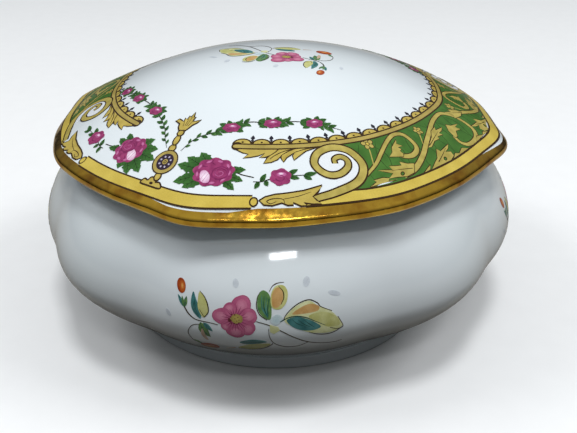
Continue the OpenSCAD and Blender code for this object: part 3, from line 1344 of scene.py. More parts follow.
@dataclass
class LidTransfers:
    """The lid's printed pattern: the same half drawn twice, half a turn apart.

    A point of the plan is given as a radius, which follows the edge's corners as the lid's own
    rings do, and an angle from the axis of the medallion.
    """

    form: LidForm
    axis: float = -11.0
    band_in: float = 43.4
    band_out: float = 45.2
    strip_in: float = 33.5
    strip_out: float = 34.5
    tip_angle: float = 16.9
    volute_angle: float = 46.2
    bead_angle: float = 25.0
    panel_axis: float = 89.0
    scallops: int = 25
    scallop_h: float = 1.25

    def place(self, x: float, y: float, lift: float) -> Place:
        """Where a point of the plan lies on the dome.

        Args:
            x: Across the plan, with the medallion's axis at the front.
            y: Back over the plan.
            lift: Height above the glaze.

        Returns:
            The point in the part's frame, in mm.
        """
        form = self.form
        radius = max(math.hypot(x, y), 1e-6)
        angle = math.degrees(math.atan2(x, -y)) + self.axis
        rise = form.slope(radius)
        steep = math.hypot(1, rise)
        out = form.spread(radius, angle) - lift * rise / steep
        px, py = on_round(out, angle + form.turn)
        return px, py, form.seat_z + form.height(radius) + lift / steep

    def halves(self, draw: Callable[[Pen], None]) -> Sheet:
        """Draws the same half of the pattern on both sides of the lid.

        Args:
            draw: Draws half of the pattern.

        Returns:
            The sheet.
        """
        sheet = Sheet()
        draw(Pen(sheet))
        draw(Pen(sheet, turn=180.0))
        return sheet

    def sides(self, pen: Pen, draw: Callable[[Pen], None], swing: float = 0.0) -> None:
        """Draws a side of the half pattern, and its mirror image, swung round a little."""
        draw(pen)
        draw(Pen(pen.sheet, pen.at, pen.turn + swing, pen.size, not pen.flip))

    def across(self, points: Points) -> list[Point]:
        """Points of the plan, mirrored over the middle of the green panel."""
        return [(r, 2 * self.panel_axis - a) for r, a in points]

    def local(self, pen: Pen, radius: float, angle: float, turn: float = 0.0,
              size: float = 1.0) -> Pen:
        """A pen at a radius and angle, with its y pointing to the crown."""
        return pen.move(on_round(radius, angle), angle + turn, size)

    def arc(self, radius: float, start: float, end: float) -> list[Point]:
        """Points along a circle of the plan, about one to a degree."""
        count = max(2, int(abs(end - start)) + 1)
        return [on_round(radius, a) for a in np.linspace(start, end, count)]

    def path(self, points: Points, per: int = 5) -> list[Point]:
        """A smooth line through points that are given as radius and angle."""
        return flow([on_round(r, a) for r, a in points], per)

    # The border

    def border(self, pen: Pen) -> None:
        """Draws the gold band between the beads, and the one under the green panel.

        Args:
            pen: The pen to draw with.
        """
        mid = (self.band_in + self.band_out) / 2
        width = self.band_out - self.band_in
        front = self.arc(mid, -self.bead_angle + 1.2, self.bead_angle - 0.4)
        pen.ribbon(front, [width], INK.gold, INK.line, LINE_W)
        for angle in (self.bead_angle, 0.8 - self.bead_angle):
            bead = self.local(pen, mid, angle)
            bead.fill(oval((0, 0), 0.78, 0.84, count=20), INK.line)
            bead.fill(oval((0, 0), 0.52, 0.58, count=20), INK.gold)
        merge = [(44.9, 36.0), (44.3, 38.5), (43.8, 41.5), (43.3, 44.0), (43.3, 48.0)]
        inner = [*self.path(merge, 4), *self.arc(self.band_in, 50, 128),
                 *self.path(self.across(merge[::-1]), 4)]
        low = self.arc(self.band_out, 36.0, 142.0)
        pen.fill([*inner, *low[::-1]], INK.gold)
        pen.stroke(inner, LINE_W * 1.2, INK.line)
        pen.stroke(low, LINE_W * 1.2, INK.line)

    # The lace strip

    def lace(self, pen: Pen) -> None:
        """Draws the gold strip with its scallops, dots and finials, and the leaf under its tip.

        Args:
            pen: The pen to draw with.
        """
        tip, far = self.tip_angle, 2 * self.panel_axis - self.tip_angle
        mid = (self.strip_in + self.strip_out) / 2
        self.fringe(pen)
        pitch = (far - tip) / self.scallops
        half = math.radians(pitch) * self.strip_in / 2
        high = self.scallop_h
        for k in range(self.scallops):
            here = self.local(pen, self.strip_in, tip + pitch * (k + 0.5))
            turns = [math.radians(t) for t in range(0, 181, 15)]
            here.fill([(half * 1.04 * math.cos(t), high * math.sin(t)) for t in turns], INK.line)
            here.fill([((half - LINE_W) * math.cos(t), (high - LINE_W) * math.sin(t))
                       for t in turns], INK.gold_leaf)
            here.fill(oval((0, 0.42), 0.21, 0.19, count=10), INK.line)
            if k:
                self.finial(self.local(pen, self.strip_in, tip + pitch * k))
        for angle in (tip + 1.5, far - 1.5):
            cap = self.local(pen, mid, angle)
            cap.fill(oval((0, 0.05), 0.95, 0.6 + LINE_W, count=20), INK.line)
        ends = self.arc(mid, tip + 1.5, far - 1.5)
        pen.ribbon(ends, [self.strip_out - self.strip_in - LINE_W], INK.strip_gold, INK.line,
                   LINE_W)
        for angle in (tip + 1.5, far - 1.5):
            cap = self.local(pen, mid, angle)
            cap.fill(oval((0, 0), 0.95 - LINE_W, 0.5 - LINE_W / 2, count=20), INK.strip_gold)

    def finial(self, pen: Pen) -> None:
        """Draws the dark spade between two scallops.

        Args:
            pen: The pen to draw with.
        """
        pen.stroke([(0, 1.1), (0, 0.1)], [0.16, 0.3], INK.line)
        pen.fill([(0, 2.0), (0.2, 1.75), (0.4, 1.35), (0.12, 1.05), (0.28, 0.8), (0, 0.6),
                  (-0.28, 0.8), (-0.12, 1.05), (-0.4, 1.35), (-0.2, 1.75)], INK.finial)

    def fringe(self, pen: Pen) -> None:
        """Draws the acanthus that hangs from the strip beside each volute.

        Args:
            pen: The pen to draw with.
        """
        outline = [(34.4, 17.6), (34.8, 18.8), (35.3, 20.4), (35.6, 22.2), (36.4, 21.0),
                   (36.2, 23.0), (35.9, 25.0), (35.3, 26.8), (36.3, 25.4), (36.2, 26.8),
                   (35.7, 28.6), (36.4, 27.4), (37.4, 26.6), (37.2, 28.6), (36.7, 30.2),
                   (35.7, 31.6), (36.4, 31.2), (37.2, 31.8), (36.3, 32.8), (35.3, 35.2),
                   (36.0, 34.4), (36.9, 34.6), (36.2, 36.0), (35.2, 38.2), (34.5, 42.0)]
        ribs = (((34.4, 38.5), (34.7, 34.2), (35.2, 31.4), (36.0, 29.2), (36.6, 28.2)),
                ((34.5, 42.0), (34.8, 38.0), (35.3, 35.2)),
                ((34.5, 35.5), (35.1, 33.2), (35.7, 31.6)),
                ((34.6, 30.5), (35.3, 29.4), (36.3, 27.2)))
        whole = [*outline, *((34.3, a) for a in range(42, 18, -4))]
        for side in (list, self.across):
            pen.edged([on_round(r, a) for r, a in side(whole)], INK.gold_leaf, INK.line, LINE_W)
            for rib in ribs:
                pen.stroke(self.path(side(rib), 4), [0.22, 0.14], INK.line)

    # Volutes

    def volutes(self, pen: Pen) -> None:
        """Draws the two volutes of a half, with the leaf that joins each to its bead."""
        self.sides(pen, self.volute, 2 * self.panel_axis - 180)
        self.sides(pen, self.scroll_leaf, 0.8)

    def volute(self, pen: Pen) -> None:
        """Draws a white-filled volute of gold ribbon.

        Args:
            pen: The pen to draw with.
        """
        coil = [(-7.2, 44.35), (-5.2, 43.9), (-2.6, 43.4), (1.1, 42.4), (3.1, 41.1), (4.0, 39.2),
                (3.4, 37.2), (2.0, 35.6), (-0.4, 34.9), (-3.0, 35.8), (-4.2, 37.6), (-3.7, 39.2),
                (-2.3, 40.2), (-0.5, 40.2), (1.2, 39.2), (1.6, 37.9), (0.7, 37.0), (-0.5, 37.3),
                (-0.7, 38.2)]
        turned_to = [on_round(r, self.volute_angle + math.degrees(x / r)) for x, r in coil]
        line = flow(turned_to, 6)
        pen.fill(line[6 * 2:6 * 13], INK.white)
        pen.ribbon(line, [0.8, 1.1, 1.2, 1.2, 1.05, 0.95, 0.8, 0.6], INK.panel_gold, INK.line,
                   LINE_W)

    def scroll_leaf(self, pen: Pen) -> None:
        """Draws the leaf between the bead and the volute.

        Args:
            pen: The pen to draw with.
        """
        outline = [(44.1, 26.2), (43.5, 27.4), (43.1, 29.5), (42.9, 32.5), (42.6, 36.0),
                   (41.9, 40.4), (42.9, 39.2), (43.7, 37.8), (44.3, 38.4), (45.0, 39.4),
                   (44.9, 37.4), (44.6, 35.6), (45.1, 36.3), (45.1, 35.0), (44.5, 33.4),
                   (44.9, 33.4), (44.9, 32.2), (44.5, 31.0), (44.9, 29.0), (44.8, 27.2)]
        pen.edged([on_round(r, a) for r, a in outline], INK.gold_leaf, INK.line, LINE_W * 1.3)
        pen.stroke(self.path([(44.6, 31.6), (43.9, 31.2), (43.8, 29.2), (44.2, 27.8),
                              (44.6, 28.6), (44.3, 29.8)]), [0.1, 0.18, 0.1], INK.line)
        pen.stroke(self.path([(43.9, 31.4), (43.5, 34.6), (42.9, 37.6)]), [0.1, 0.14, 0.06],
                   INK.line)

    # Green panel

    def panel(self, pen: Pen) -> None:
        """Draws the green panel, with its gold scrollwork, flowers and leaves.

        Args:
            pen: The pen to draw with.
        """
        near = [(43.4, 46.5), (42.4, 47.7), (41.1, 50.5), (39.2, 52.0), (37.2, 51.4),
                (35.6, 49.4), (34.5, 46.5)]
        outline = [*self.path(near, 4), *self.arc(34.5, 48, 130),
                   *self.path(self.across(near[::-1]), 4), *self.arc(self.band_in + 0.1, 130, 48)]
        pen.fill(outline, INK.ground)
        self.ground_lines(pen)
        self.scrollwork(pen, False)
        self.scrollwork(pen, True)

    def ground_lines(self, pen: Pen) -> None:
        """Draws the dark shading lines that run with the stems over the green.

        Args:
            pen: The pen to draw with.
        """
        for k in range(26):
            a = 54.0 + 70.0 * k / 25
            lean = 3.4 if k % 2 else -2.2
            pen.stroke(self.path([(35.2, a), (38.4, a + lean), (42.6, a + lean * 0.4)]),
                       [0.05, 0.13, 0.05], INK.ground_line)

    def scrollwork(self, pen: Pen, mirror: bool) -> None:
        """Draws the gold rinceaux of half a panel.

        Args:
            pen: The pen to draw with.
            mirror: True for the second half, whose great scroll stops short of the first's.
        """
        def at(points: Points) -> list[Point]:
            """The points, mirrored for the second half."""
            return self.across(points) if mirror else list(points)

        def stem(points: Points, widths: Sequence[float]) -> None:
            """Draws a gold stem with its outline."""
            pen.ribbon(self.path(at(points), 6), widths, INK.panel_gold, INK.line, 0.17)

        def blade(points: Points, vein: Points = ()) -> None:
            """Draws a gold leaf, with its vein if it has one.

            Args:
                points: Its outline, as radius and angle.
                vein: The vein's points.
            """
            pen.edged([on_round(r, a) for r, a in at(points)], INK.panel_gold, INK.line, 0.18)
            if vein:
                pen.stroke(self.path(at(vein), 4), [0.16, 0.06], INK.line)

        def eye(radius: float, angle: float) -> None:
            """Draws the pierced eye of a leaf.

            Args:
                radius: Radius of its middle.
                angle: Angle of its middle.
            """
            (r, a), = at([(radius, angle)])
            spot = self.local(pen, r, a)
            spot.fill(oval((0, 0), 0.52, 0.34, 20, 14), INK.line)
            spot.fill(oval((0, 0), 0.32, 0.17, 20, 12), INK.ground)

        stem([(41.2, 51.6), (40.7, 52.6), (39.3, 55.8), (37.4, 59.5), (35.8, 63.4), (35.0, 66.8),
              (35.2, 69.3), (36.0, 70.6), (37.4, 71.0), (38.6, 70.7), (39.4, 69.4),
              (39.8, 67.3), (39.6, 65.4), (39.1, 63.9)], [0.3, 0.6, 0.7, 0.75, 0.85, 0.8])
        blade([(39.5, 64.4), (38.8, 60.4), (38.1, 62.2), (37.2, 63.2), (36.0, 66.6), (36.8, 65.6),
               (37.6, 66.8), (37.6, 65.1), (38.1, 65.7), (38.3, 64.8), (39.0, 65.2)])
        great = [(42.6, 60.8), (42.3, 64.0), (41.5, 67.2), (40.2, 71.0), (38.6, 75.2),
                 (37.2, 79.9), (36.0, 85.0), (35.5, 89.7), (35.6, 93.0), (36.6, 95.2),
                 (38.1, 96.4), (39.9, 96.5), (41.5, 95.6), (42.6, 93.1), (42.9, 89.9),
                 (42.6, 87.3), (41.6, 86.0), (40.2, 86.4)]
        stem(great[:6] if mirror else great, [0.9, 0.85, 0.7, 0.7, 0.75, 0.65])
        if mirror:
            blade([(38.2, 76.0), (37.0, 77.0), (35.9, 80.0), (36.6, 80.0), (35.8, 83.0),
                   (37.2, 81.4), (38.0, 82.4), (38.4, 79.0)], [(38.2, 76.6), (36.6, 81.4)])
        else:
            blade([(40.6, 86.2), (38.9, 86.9), (37.7, 88.8), (38.4, 90.2), (38.9, 93.4),
                   (39.1, 91.0), (40.0, 91.7), (39.7, 89.4), (40.6, 87.6)])
            blade([(39.6, 74.0), (38.2, 78.6), (37.2, 80.9), (36.9, 83.8), (37.5, 82.9),
                   (37.7, 86.2), (38.2, 84.6), (38.3, 82.6), (38.9, 83.4), (38.7, 80.7),
                   (39.2, 80.6), (39.1, 78.2), (39.8, 75.4)],
                  [(39.4, 75.0), (38.6, 79.0), (37.9, 83.2)])
        blade([(41.2, 65.9), (40.8, 63.9), (40.1, 62.2), (40.8, 62.0), (40.6, 60.4),
               (40.3, 58.6), (41.1, 58.8), (40.8, 57.1), (40.6, 55.0), (41.2, 56.8),
               (41.7, 58.4), (42.4, 56.6), (42.5, 58.7), (42.9, 61.6), (42.7, 64.0)],
              [(41.9, 64.4), (41.5, 61.6), (41.2, 58.6)])
        eye(42.2, 60.8)
        blade([(43.2, 51.2), (42.5, 53.2), (42.1, 52.8), (42.0, 55.2), (42.3, 56.8),
               (42.7, 56.2), (42.9, 58.6)])
        blade([(43.3, 69.2), (42.5, 71.5), (41.9, 73.6), (40.4, 76.0), (41.1, 76.6),
               (40.7, 81.4), (41.4, 79.6), (41.6, 77.9), (42.0, 79.6), (42.9, 79.2),
               (43.3, 77.0)], [(42.6, 73.0), (41.8, 76.2), (41.1, 79.0)])
        eye(42.6, 75.8)
        blade([(43.3, 78.2), (42.6, 80.3), (43.0, 81.6), (42.5, 84.2), (43.3, 86.4)])
        blade([(43.3, 66.4), (42.4, 70.0), (43.2, 68.8)])
        for r, a, low_r, low_a, size in ((35.3, 56.9, 40.0, 54.6, 0.95),
                                         (36.0, 76.6, 38.6, 73.6, 0.8)):
            (r, a), (low_r, low_a) = at([(r, a), (low_r, low_a)])
            pen.stroke(self.path([(r, a), ((r + low_r) / 2, (a + low_a) / 2), (low_r, low_a)]),
                       [0.24, 0.16], INK.panel_gold)
            self.panel_flower(self.local(pen, r, a, 0.0, size))

    def panel_flower(self, pen: Pen) -> None:
        """Draws a five-petalled gold flower.

        Args:
            pen: The pen to draw with.
        """
        for k in range(5):
            a = math.radians(90 + 72 * k)
            pen.fill(oval((0.78 * math.cos(a), 0.78 * math.sin(a)), 0.6, 0.52,
                          90 + 72 * k, 12), INK.line)
        for k in range(5):
            a = math.radians(90 + 72 * k)
            pen.fill(oval((0.76 * math.cos(a), 0.76 * math.sin(a)), 0.46, 0.39,
                          90 + 72 * k, 12), INK.panel_gold)
        pen.fill(oval((0, 0), 0.42, 0.42, count=12), INK.line)
        pen.fill(oval((0, 0), 0.28, 0.28, count=12), INK.gold)

    # Medallion

    def medallion(self, pen: Pen) -> None:
        """Draws the wheel with its beads, trefoil foot and torch.

        Args:
            pen: The pen to draw with.
        """
        foot = self.local(pen, 43.3, 0.4)
        foot.edged(flow([(-2.3, -0.2), (-1.9, 0.5), (-1.1, 0.35), (-0.7, 1.0), (0.3, 1.0),
                         (0.6, 0.4), (1.5, 0.5), (2.2, -0.1), (1.6, -0.4), (-1.6, -0.4)],
                        4, loop=True), INK.gold_leaf, INK.line, LINE_W * 1.4)
        foot.fill(oval((-0.1, 0.05), 0.4, 0.25, count=12), INK.line)
        spine = self.local(pen, 39.1, 0.3, 9.0)
        for y, rx, ry in ((-2.85, 0.5, 0.62), (2.85, 0.55, 0.6), (4.6, 0.46, 1.0),
                          (6.25, 0.5, 0.55)):
            spine.fill(oval((0, y), rx + LINE_W, ry + LINE_W, count=18), INK.line)
            spine.fill(oval((0, y), rx, ry, count=18), INK.gold_leaf)
        spine.fill(oval((0, 0), 2.42, 2.42, count=40), INK.line)
        spine.fill(oval((0, 0), 2.2, 2.2, count=40), INK.strip_gold)
        spine.fill(oval((0, 0), 1.62, 1.62, count=36), INK.purple)
        for k in range(8):
            a = math.radians(45 * k + 22.5)
            spine.fill(oval((1.03 * math.cos(a), 1.03 * math.sin(a)), 0.2, 0.17, 45 * k + 22.5,
                            12), INK.petal)
        spine.fill(oval((0, 0), 0.52, 0.52, count=16), INK.strip_gold)
        spine.fill(oval((0, 0), 0.3, 0.3, count=16), INK.line)
        spine.fill(oval((0, 0), 0.16, 0.16, count=12), INK.strip_gold)
        self.torch(spine)

    def torch(self, pen: Pen) -> None:
        """Draws the flaming cup at the top of the medallion.

        Args:
            pen: The pen to draw with.
        """
        cup = [(-0.7, 6.9), (-1.1, 7.6), (-1.3, 8.5), (-2.4, 9.2), (-1.9, 9.7), (-1.2, 9.3),
               (-0.7, 9.0), (-0.75, 10.0), (-0.3, 9.6), (-0.1, 10.6), (0.2, 10.2), (0.5, 11.6),
               (0.8, 10.2), (1.1, 10.4), (1.0, 9.2), (1.7, 9.3), (2.5, 9.7), (2.1, 9.0),
               (1.4, 8.3), (1.0, 7.5), (0.6, 6.9)]
        pen.edged(cup, INK.gold_leaf, INK.line, LINE_W * 1.4)
        for x, low, high in ((-0.55, 7.9, 9.1), (0.0, 8.0, 9.8), (0.5, 8.0, 10.3),
                             (1.0, 7.9, 9.0)):
            pen.stroke([(x * 0.6, low), (x, high)], [0.12, 0.34, 0.1], INK.line)

    # Roses

    def roses(self, pen: Pen) -> None:
        """Draws the rose sprays on both sides of the medallion.

        Args:
            pen: The pen to draw with.
        """
        pen.stroke(self.path([(38.8, 18.5), (39.6, 21.5), (40.1, 24.5)]), 0.14, INK.stem)
        pen.stroke(self.path([(39.2, -17.0), (39.8, -20.0), (40.0, -22.5)]), 0.14, INK.stem)
        right = self.local(pen, 39.2, 14.4)
        self.rose_leaves(right, ((-6.9, 0.9), (-5.6, 2.4), (-3.4, 3.5)),
                         ((-6.4, -2.3), (-4.4, -3.1)), ((5.3, 0.9), (5.4, -1.2), (4.4, -2.9)))
        CabbageRose().draw(right)
        self.side_bud(self.local(pen, 40.0, 30.9), False)
        left = self.local(pen, 39.0, -12.8)
        self.rose_leaves(left, ((6.6, 0.2), (5.4, 2.2), (3.0, 3.6)),
                         ((3.8, -4.0), (0.9, -3.8), (5.8, -2.8)),
                         ((-4.6, 1.4), (-5.2, -0.9), (-3.6, 2.9)))
        CabbageRose(3.1, 2.7, (0.9, -1.0), (-0.7, 0.7)).draw(left.move((0, 0), 18))
        self.side_bud(self.local(pen, 40.0, -28.4), True)

    def rose_leaves(self, pen: Pen, inner: Points, low: Points, outer: Points) -> None:
        """Draws the leaf clusters round a full rose, each leaf by its tip.

        Args:
            pen: The pen to draw with.
            inner: Tips of the leaves above.
            low: Tips of the leaves below.
            outer: Tips of the small leaves on the far side.
        """
        for tip in (*low, *inner):
            leaf(pen, (tip[0] * 0.3, tip[1] * 0.3), tip, 2.3, INK.leaf, INK.leaf_line, teeth=4)
        for tip in outer:
            leaf(pen, (tip[0] * 0.45, tip[1] * 0.45), tip, 1.5, INK.leaf, INK.leaf_line, teeth=3)

    def side_bud(self, pen: Pen, flip: bool) -> None:
        """Draws a small rose with its sprig and leaves.

        Args:
            pen: The pen to draw with.
            flip: True for the mirrored sprig.
        """
        pen = Pen(pen.sheet, pen.at, pen.turn, pen.size, pen.flip != flip)
        pen.stroke(flow([(-4.6, -0.6), (-3.2, -0.7), (-1.6, -0.3)]), [0.1, 0.16], INK.stem)
        pen.stroke(flow([(1.4, 0.2), (3.2, 0.3), (5.4, 0.5)]), [0.14, 0.06], INK.stem)
        for base, tip in (((-3.4, -0.7), (-2.4, 0.7)), ((-3.6, -0.7), (-4.4, -1.9)),
                          ((-2.6, -0.6), (-2.2, -1.6)), ((1.3, 0.5), (3.0, 1.4)),
                          ((1.4, 0.1), (3.2, -0.3)), ((3.9, 0.3), (6.2, 0.9)),
                          ((3.9, 0.3), (5.3, -0.4))):
            leaf(pen, base, tip, 0.85, INK.leaf, INK.leaf_line)
        BudRose(1.75, 1.5).draw(pen)

    # Garlands

    def garlands(self, pen: Pen) -> None:
        """Draws the two garlands that swing out from the medallion.

        Args:
            pen: The pen to draw with.
        """
        self.garland(pen, [(36.4, 2.7), (34.8, 3.6), (33.1, 5.2), (31.8, 8.4), (29.9, 14.7),
                           (28.3, 20.5), (28.6, 28.7), (28.2, 35.8), (29.1, 43.6), (30.2, 47.6),
                           (31.4, 51.5)], (14.7, 28.7, 43.6))
        self.garland(pen, [(36.5, -2.2), (34.6, -5.4), (33.1, -7.8), (31.6, -11.8),
                           (30.0, -19.3), (29.2, -28.2), (29.7, -35.3), (30.0, -42.0),
                           (31.1, -47.8), (31.8, -52.0)], (-19.3, -35.3, -47.8))

    def garland(self, pen: Pen, route: Points, rose_angles: Sequence[float]) -> None:
        """Draws one garland: its stem, its paired leaves and its roses.

        Args:
            pen: The pen to draw with.
            route: The stem's points, as radius and angle.
            rose_angles: The angle of each rose, which is also a point of the route.
        """
        spacing, sprig, cluster = 0.85, 3.4, 2.9
        line = np.array(self.path(route, 8))
        pen.stroke([tuple(p) for p in line], [0.08, 0.18, 0.16, 0.08], INK.stem)
        run = np.concatenate([[0], np.cumsum(np.linalg.norm(np.diff(line, axis=0), axis=1))])
        spans = {a: r for r, a in route}
        roses = [np.array(on_round(spans[a], a)) for a in rose_angles]
        first = float(run[np.argmin(np.linalg.norm(line - roses[0], axis=1))])
        for k, s in enumerate(np.arange(1.0, run[-1] - 0.4, spacing)):
            spot = np.array([np.interp(s, run, line[:, 0]), np.interp(s, run, line[:, 1])])
            ahead = np.array([np.interp(s + 0.5, run, line[:, 0]),
                              np.interp(s + 0.5, run, line[:, 1])])
            clear = min(np.linalg.norm(spot - rose) for rose in roses)
            leading = s < first - sprig
            if not leading and clear > cluster:
                continue
            size = 0.7 + 0.07 * s if leading else 1.2
            dx, dy = ahead - spot
            here = pen.move(tuple(spot), math.degrees(math.atan2(dy, dx)))
            side = 1 if k % 2 else -1
            ink = INK.leaf if k % 3 else INK.leaf_light
            leaf(here, (0, 0), (1.1 * size, side * 0.75 * size), 0.66 * size, ink, INK.leaf_line)
            if not leading:
                leaf(here, (0, 0), (0.9 * size, -side * 1.0 * size), 0.6 * size, INK.leaf)
        for angle in rose_angles:
            rose = self.local(pen, spans[angle], angle)
            for tip in ((2.5, 0.9), (2.4, -0.7), (-2.5, 0.8), (-2.4, -0.8), (1.2, 1.8),
                        (-1.1, 1.7)):
                leaf(rose, (tip[0] * 0.3, tip[1] * 0.3), tip, 1.0, INK.leaf, INK.leaf_line)
            BudRose(1.5, 1.05).draw(rose)


# The box

@dataclass
class Finishes:
    """The box's finishes, made once."""

    porcelain: bpy.types.Material
    bisque: bpy.types.Material
    transfer: bpy.types.Material
    gold: bpy.types.Material
    paper: bpy.types.Material

    @classmethod
    def make(cls) -> "Finishes":
        """Builds every material.

        Returns:
            The finishes.
        """
        return cls(GlazedPorcelain("clear_glazed_porcelain").make(),
                   Bisque("unglazed_foot_bisque").make(),
                   FiredTransfer("fired_transfer_colours").make(),
                   BrightGold("fired_bright_gold").make(),
                   StudioPaper("studio_paper").make())


def settle(piece: bpy.types.Object, material: bpy.types.Material, body: str,
           stands_for: str = "") -> bpy.types.Object:
    """Dresses a piece and ties it to the frame.

    Args:
        piece: The piece.
        material: Its material.
        body: The CAD body that it moves with.
        stands_for: The CAD node that it replaces, if it replaces one.

    Returns:
        The piece.
    """
    if not piece.data.materials:
        piece.data.materials.append(material)
    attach(piece, body)
    if stands_for:
        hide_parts(stands_for)
    log.info("%s: %d faces, rides on %s", piece.name, len(piece.data.polygons), body)
    return piece


@dataclass
class Bowl:
    """The lobed bowl on its foot ring, with its four sprays."""

    form: BowlForm
    finishes: Finishes
    rings: int = 30
    hub_r: float = 0.4
    under_rim: float = 0.9
    floor_fillet: float = 2.0
    glaze_line: float = 0.25
    lift: float = 0.01
    spray_pitch: float = 0.6
    spray_angle: float = -3.3
    spray_height: float = 23.3
    spray_count: int = 4

    def section(self) -> list[Place]:
        """The bowl's section, from under the floor out, up, over the rim and down inside.

        Returns:
            Radius, height and depth of the grooves, ring by ring.
        """
        f = self.form
        recess_r = f.foot_r - f.foot_ring_w
        under = [(self.hub_r, f.recess_h), *[(recess_r * k / 6, f.recess_h) for k in range(1, 6)],
                 *rounded((recess_r, f.recess_h), (0, f.recess_h), (recess_r, 0), 0.5),
                 *rounded((recess_r, 0), (recess_r, 1), (f.foot_r, 0), 0.6),
                 *rounded((f.foot_r, 0), (recess_r, 0), (f.foot_r, 1), 0.7),
                 *rounded((f.foot_r, f.foot_h), (f.foot_r, 0), (f.base_r, f.foot_h), 0.2, 3)]
        section = [(r, z, 0.0) for r, z in under]
        for k in range(self.rings * 2 + 1):
            share = k / (self.rings * 2)
            z = f.foot_h + (f.bowl_h - self.under_rim - f.foot_h) * share
            radius, depth = f.crest(z)
            section.append((radius, z, depth))
        neck = (f.neck_r, f.bowl_h)
        mouth = (f.mouth_r, f.bowl_h)
        below, _ = f.crest(f.bowl_h - 2)
        inside = f.inside(22)
        rim = [*rounded(neck, (below, f.bowl_h - 2), mouth, 0.7),
               *rounded(mouth, neck, (f.mouth_r, f.bowl_h - 2), 0.7),
               *rounded((f.mouth_r, f.bowl_h - f.wall), (f.mouth_r, f.bowl_h),
                        inside[0], 0.6)]
        floor_r = inside[-1][0]
        well = [*inside[:-1],
                *rounded((floor_r, f.floor_z), inside[-3], (0, f.floor_z),
                         self.floor_fillet, 6),
                *[(floor_r * k / 8, f.floor_z) for k in range(7, 0, -1)],
                (self.hub_r, f.floor_z)]
        return section + [(r, z, 0.0) for r, z in [*rim, *well]]

    def place(self, radius: float, height: float, depth: float,
              angle: float) -> Place:
        """Where a point of the section goes, with the grooves between the lobes."""
        x, y = on_round(radius - depth * self.form.groove(angle), angle)
        return x, y, height

    def body(self) -> bpy.types.Object:
        """Builds the glazed bowl, with its bare foot ring as a second finish.

        Returns:
            The piece.
        """
        piece = turned("bowl_body", self.section(), self.place)
        piece.data.materials.append(self.finishes.porcelain)
        piece.data.materials.append(self.finishes.bisque)
        inner = (self.form.foot_r - self.form.foot_ring_w) * MM
        for face in piece.data.polygons:
            middle = face.center
            if middle.z < self.glaze_line * MM and math.hypot(middle.x, middle.y) > inner:
                face.material_index = 1
        smooth(piece, 50)
        return settle(piece, self.finishes.porcelain, "bowl", "bowl")

    def on_glaze(self, centre: float) -> Callable[[float, float, float], Place]:
        """Gives the placing of a sheet that is laid on the belly.

        Args:
            centre: Angle of the sheet's origin from the front.

        Returns:
            A function of a point of the sheet and its lift, x along the belly and y up it.
        """
        form = self.form
        heights, climbs = form.climb()
        start = float(np.interp(self.spray_height, heights, climbs))
        probe = 0.05

        def place(x: float, y: float, lift: float) -> Place:
            """Where a point of the sheet lies on the glaze.

            Args:
                x: Along the belly.
                y: Up the belly.
                lift: Height above the glaze.

            Returns:
                The point in the part's frame.
            """
            z = float(np.interp(start + y, climbs, heights))
            radius, depth = form.crest(z)
            ahead, _ = form.crest(z + probe)
            slope = (ahead - radius) / probe
            steep = math.hypot(1, slope)
            angle = centre + math.degrees(x / radius)
            out = radius - depth * form.groove(angle) + lift / steep
            px, py = on_round(out, angle)
            return px, py, z - lift * slope / steep

        return place

    def sprays(self) -> None:
        """Lays a spray on each of the wide lobes."""
        for k in range(self.spray_count):
            sheet = Sheet()
            Spray().draw(Pen(sheet))
            centre = self.spray_angle + 360 / self.spray_count * k
            piece = sheet.lay(f"bowl_spray_{k + 1}", self.on_glaze(centre), self.lift,
                              self.spray_pitch)
            settle(piece, self.finishes.transfer, "bowl")

    def build(self) -> None:
        """Builds the bowl and its decoration."""
        self.body()
        self.sprays()


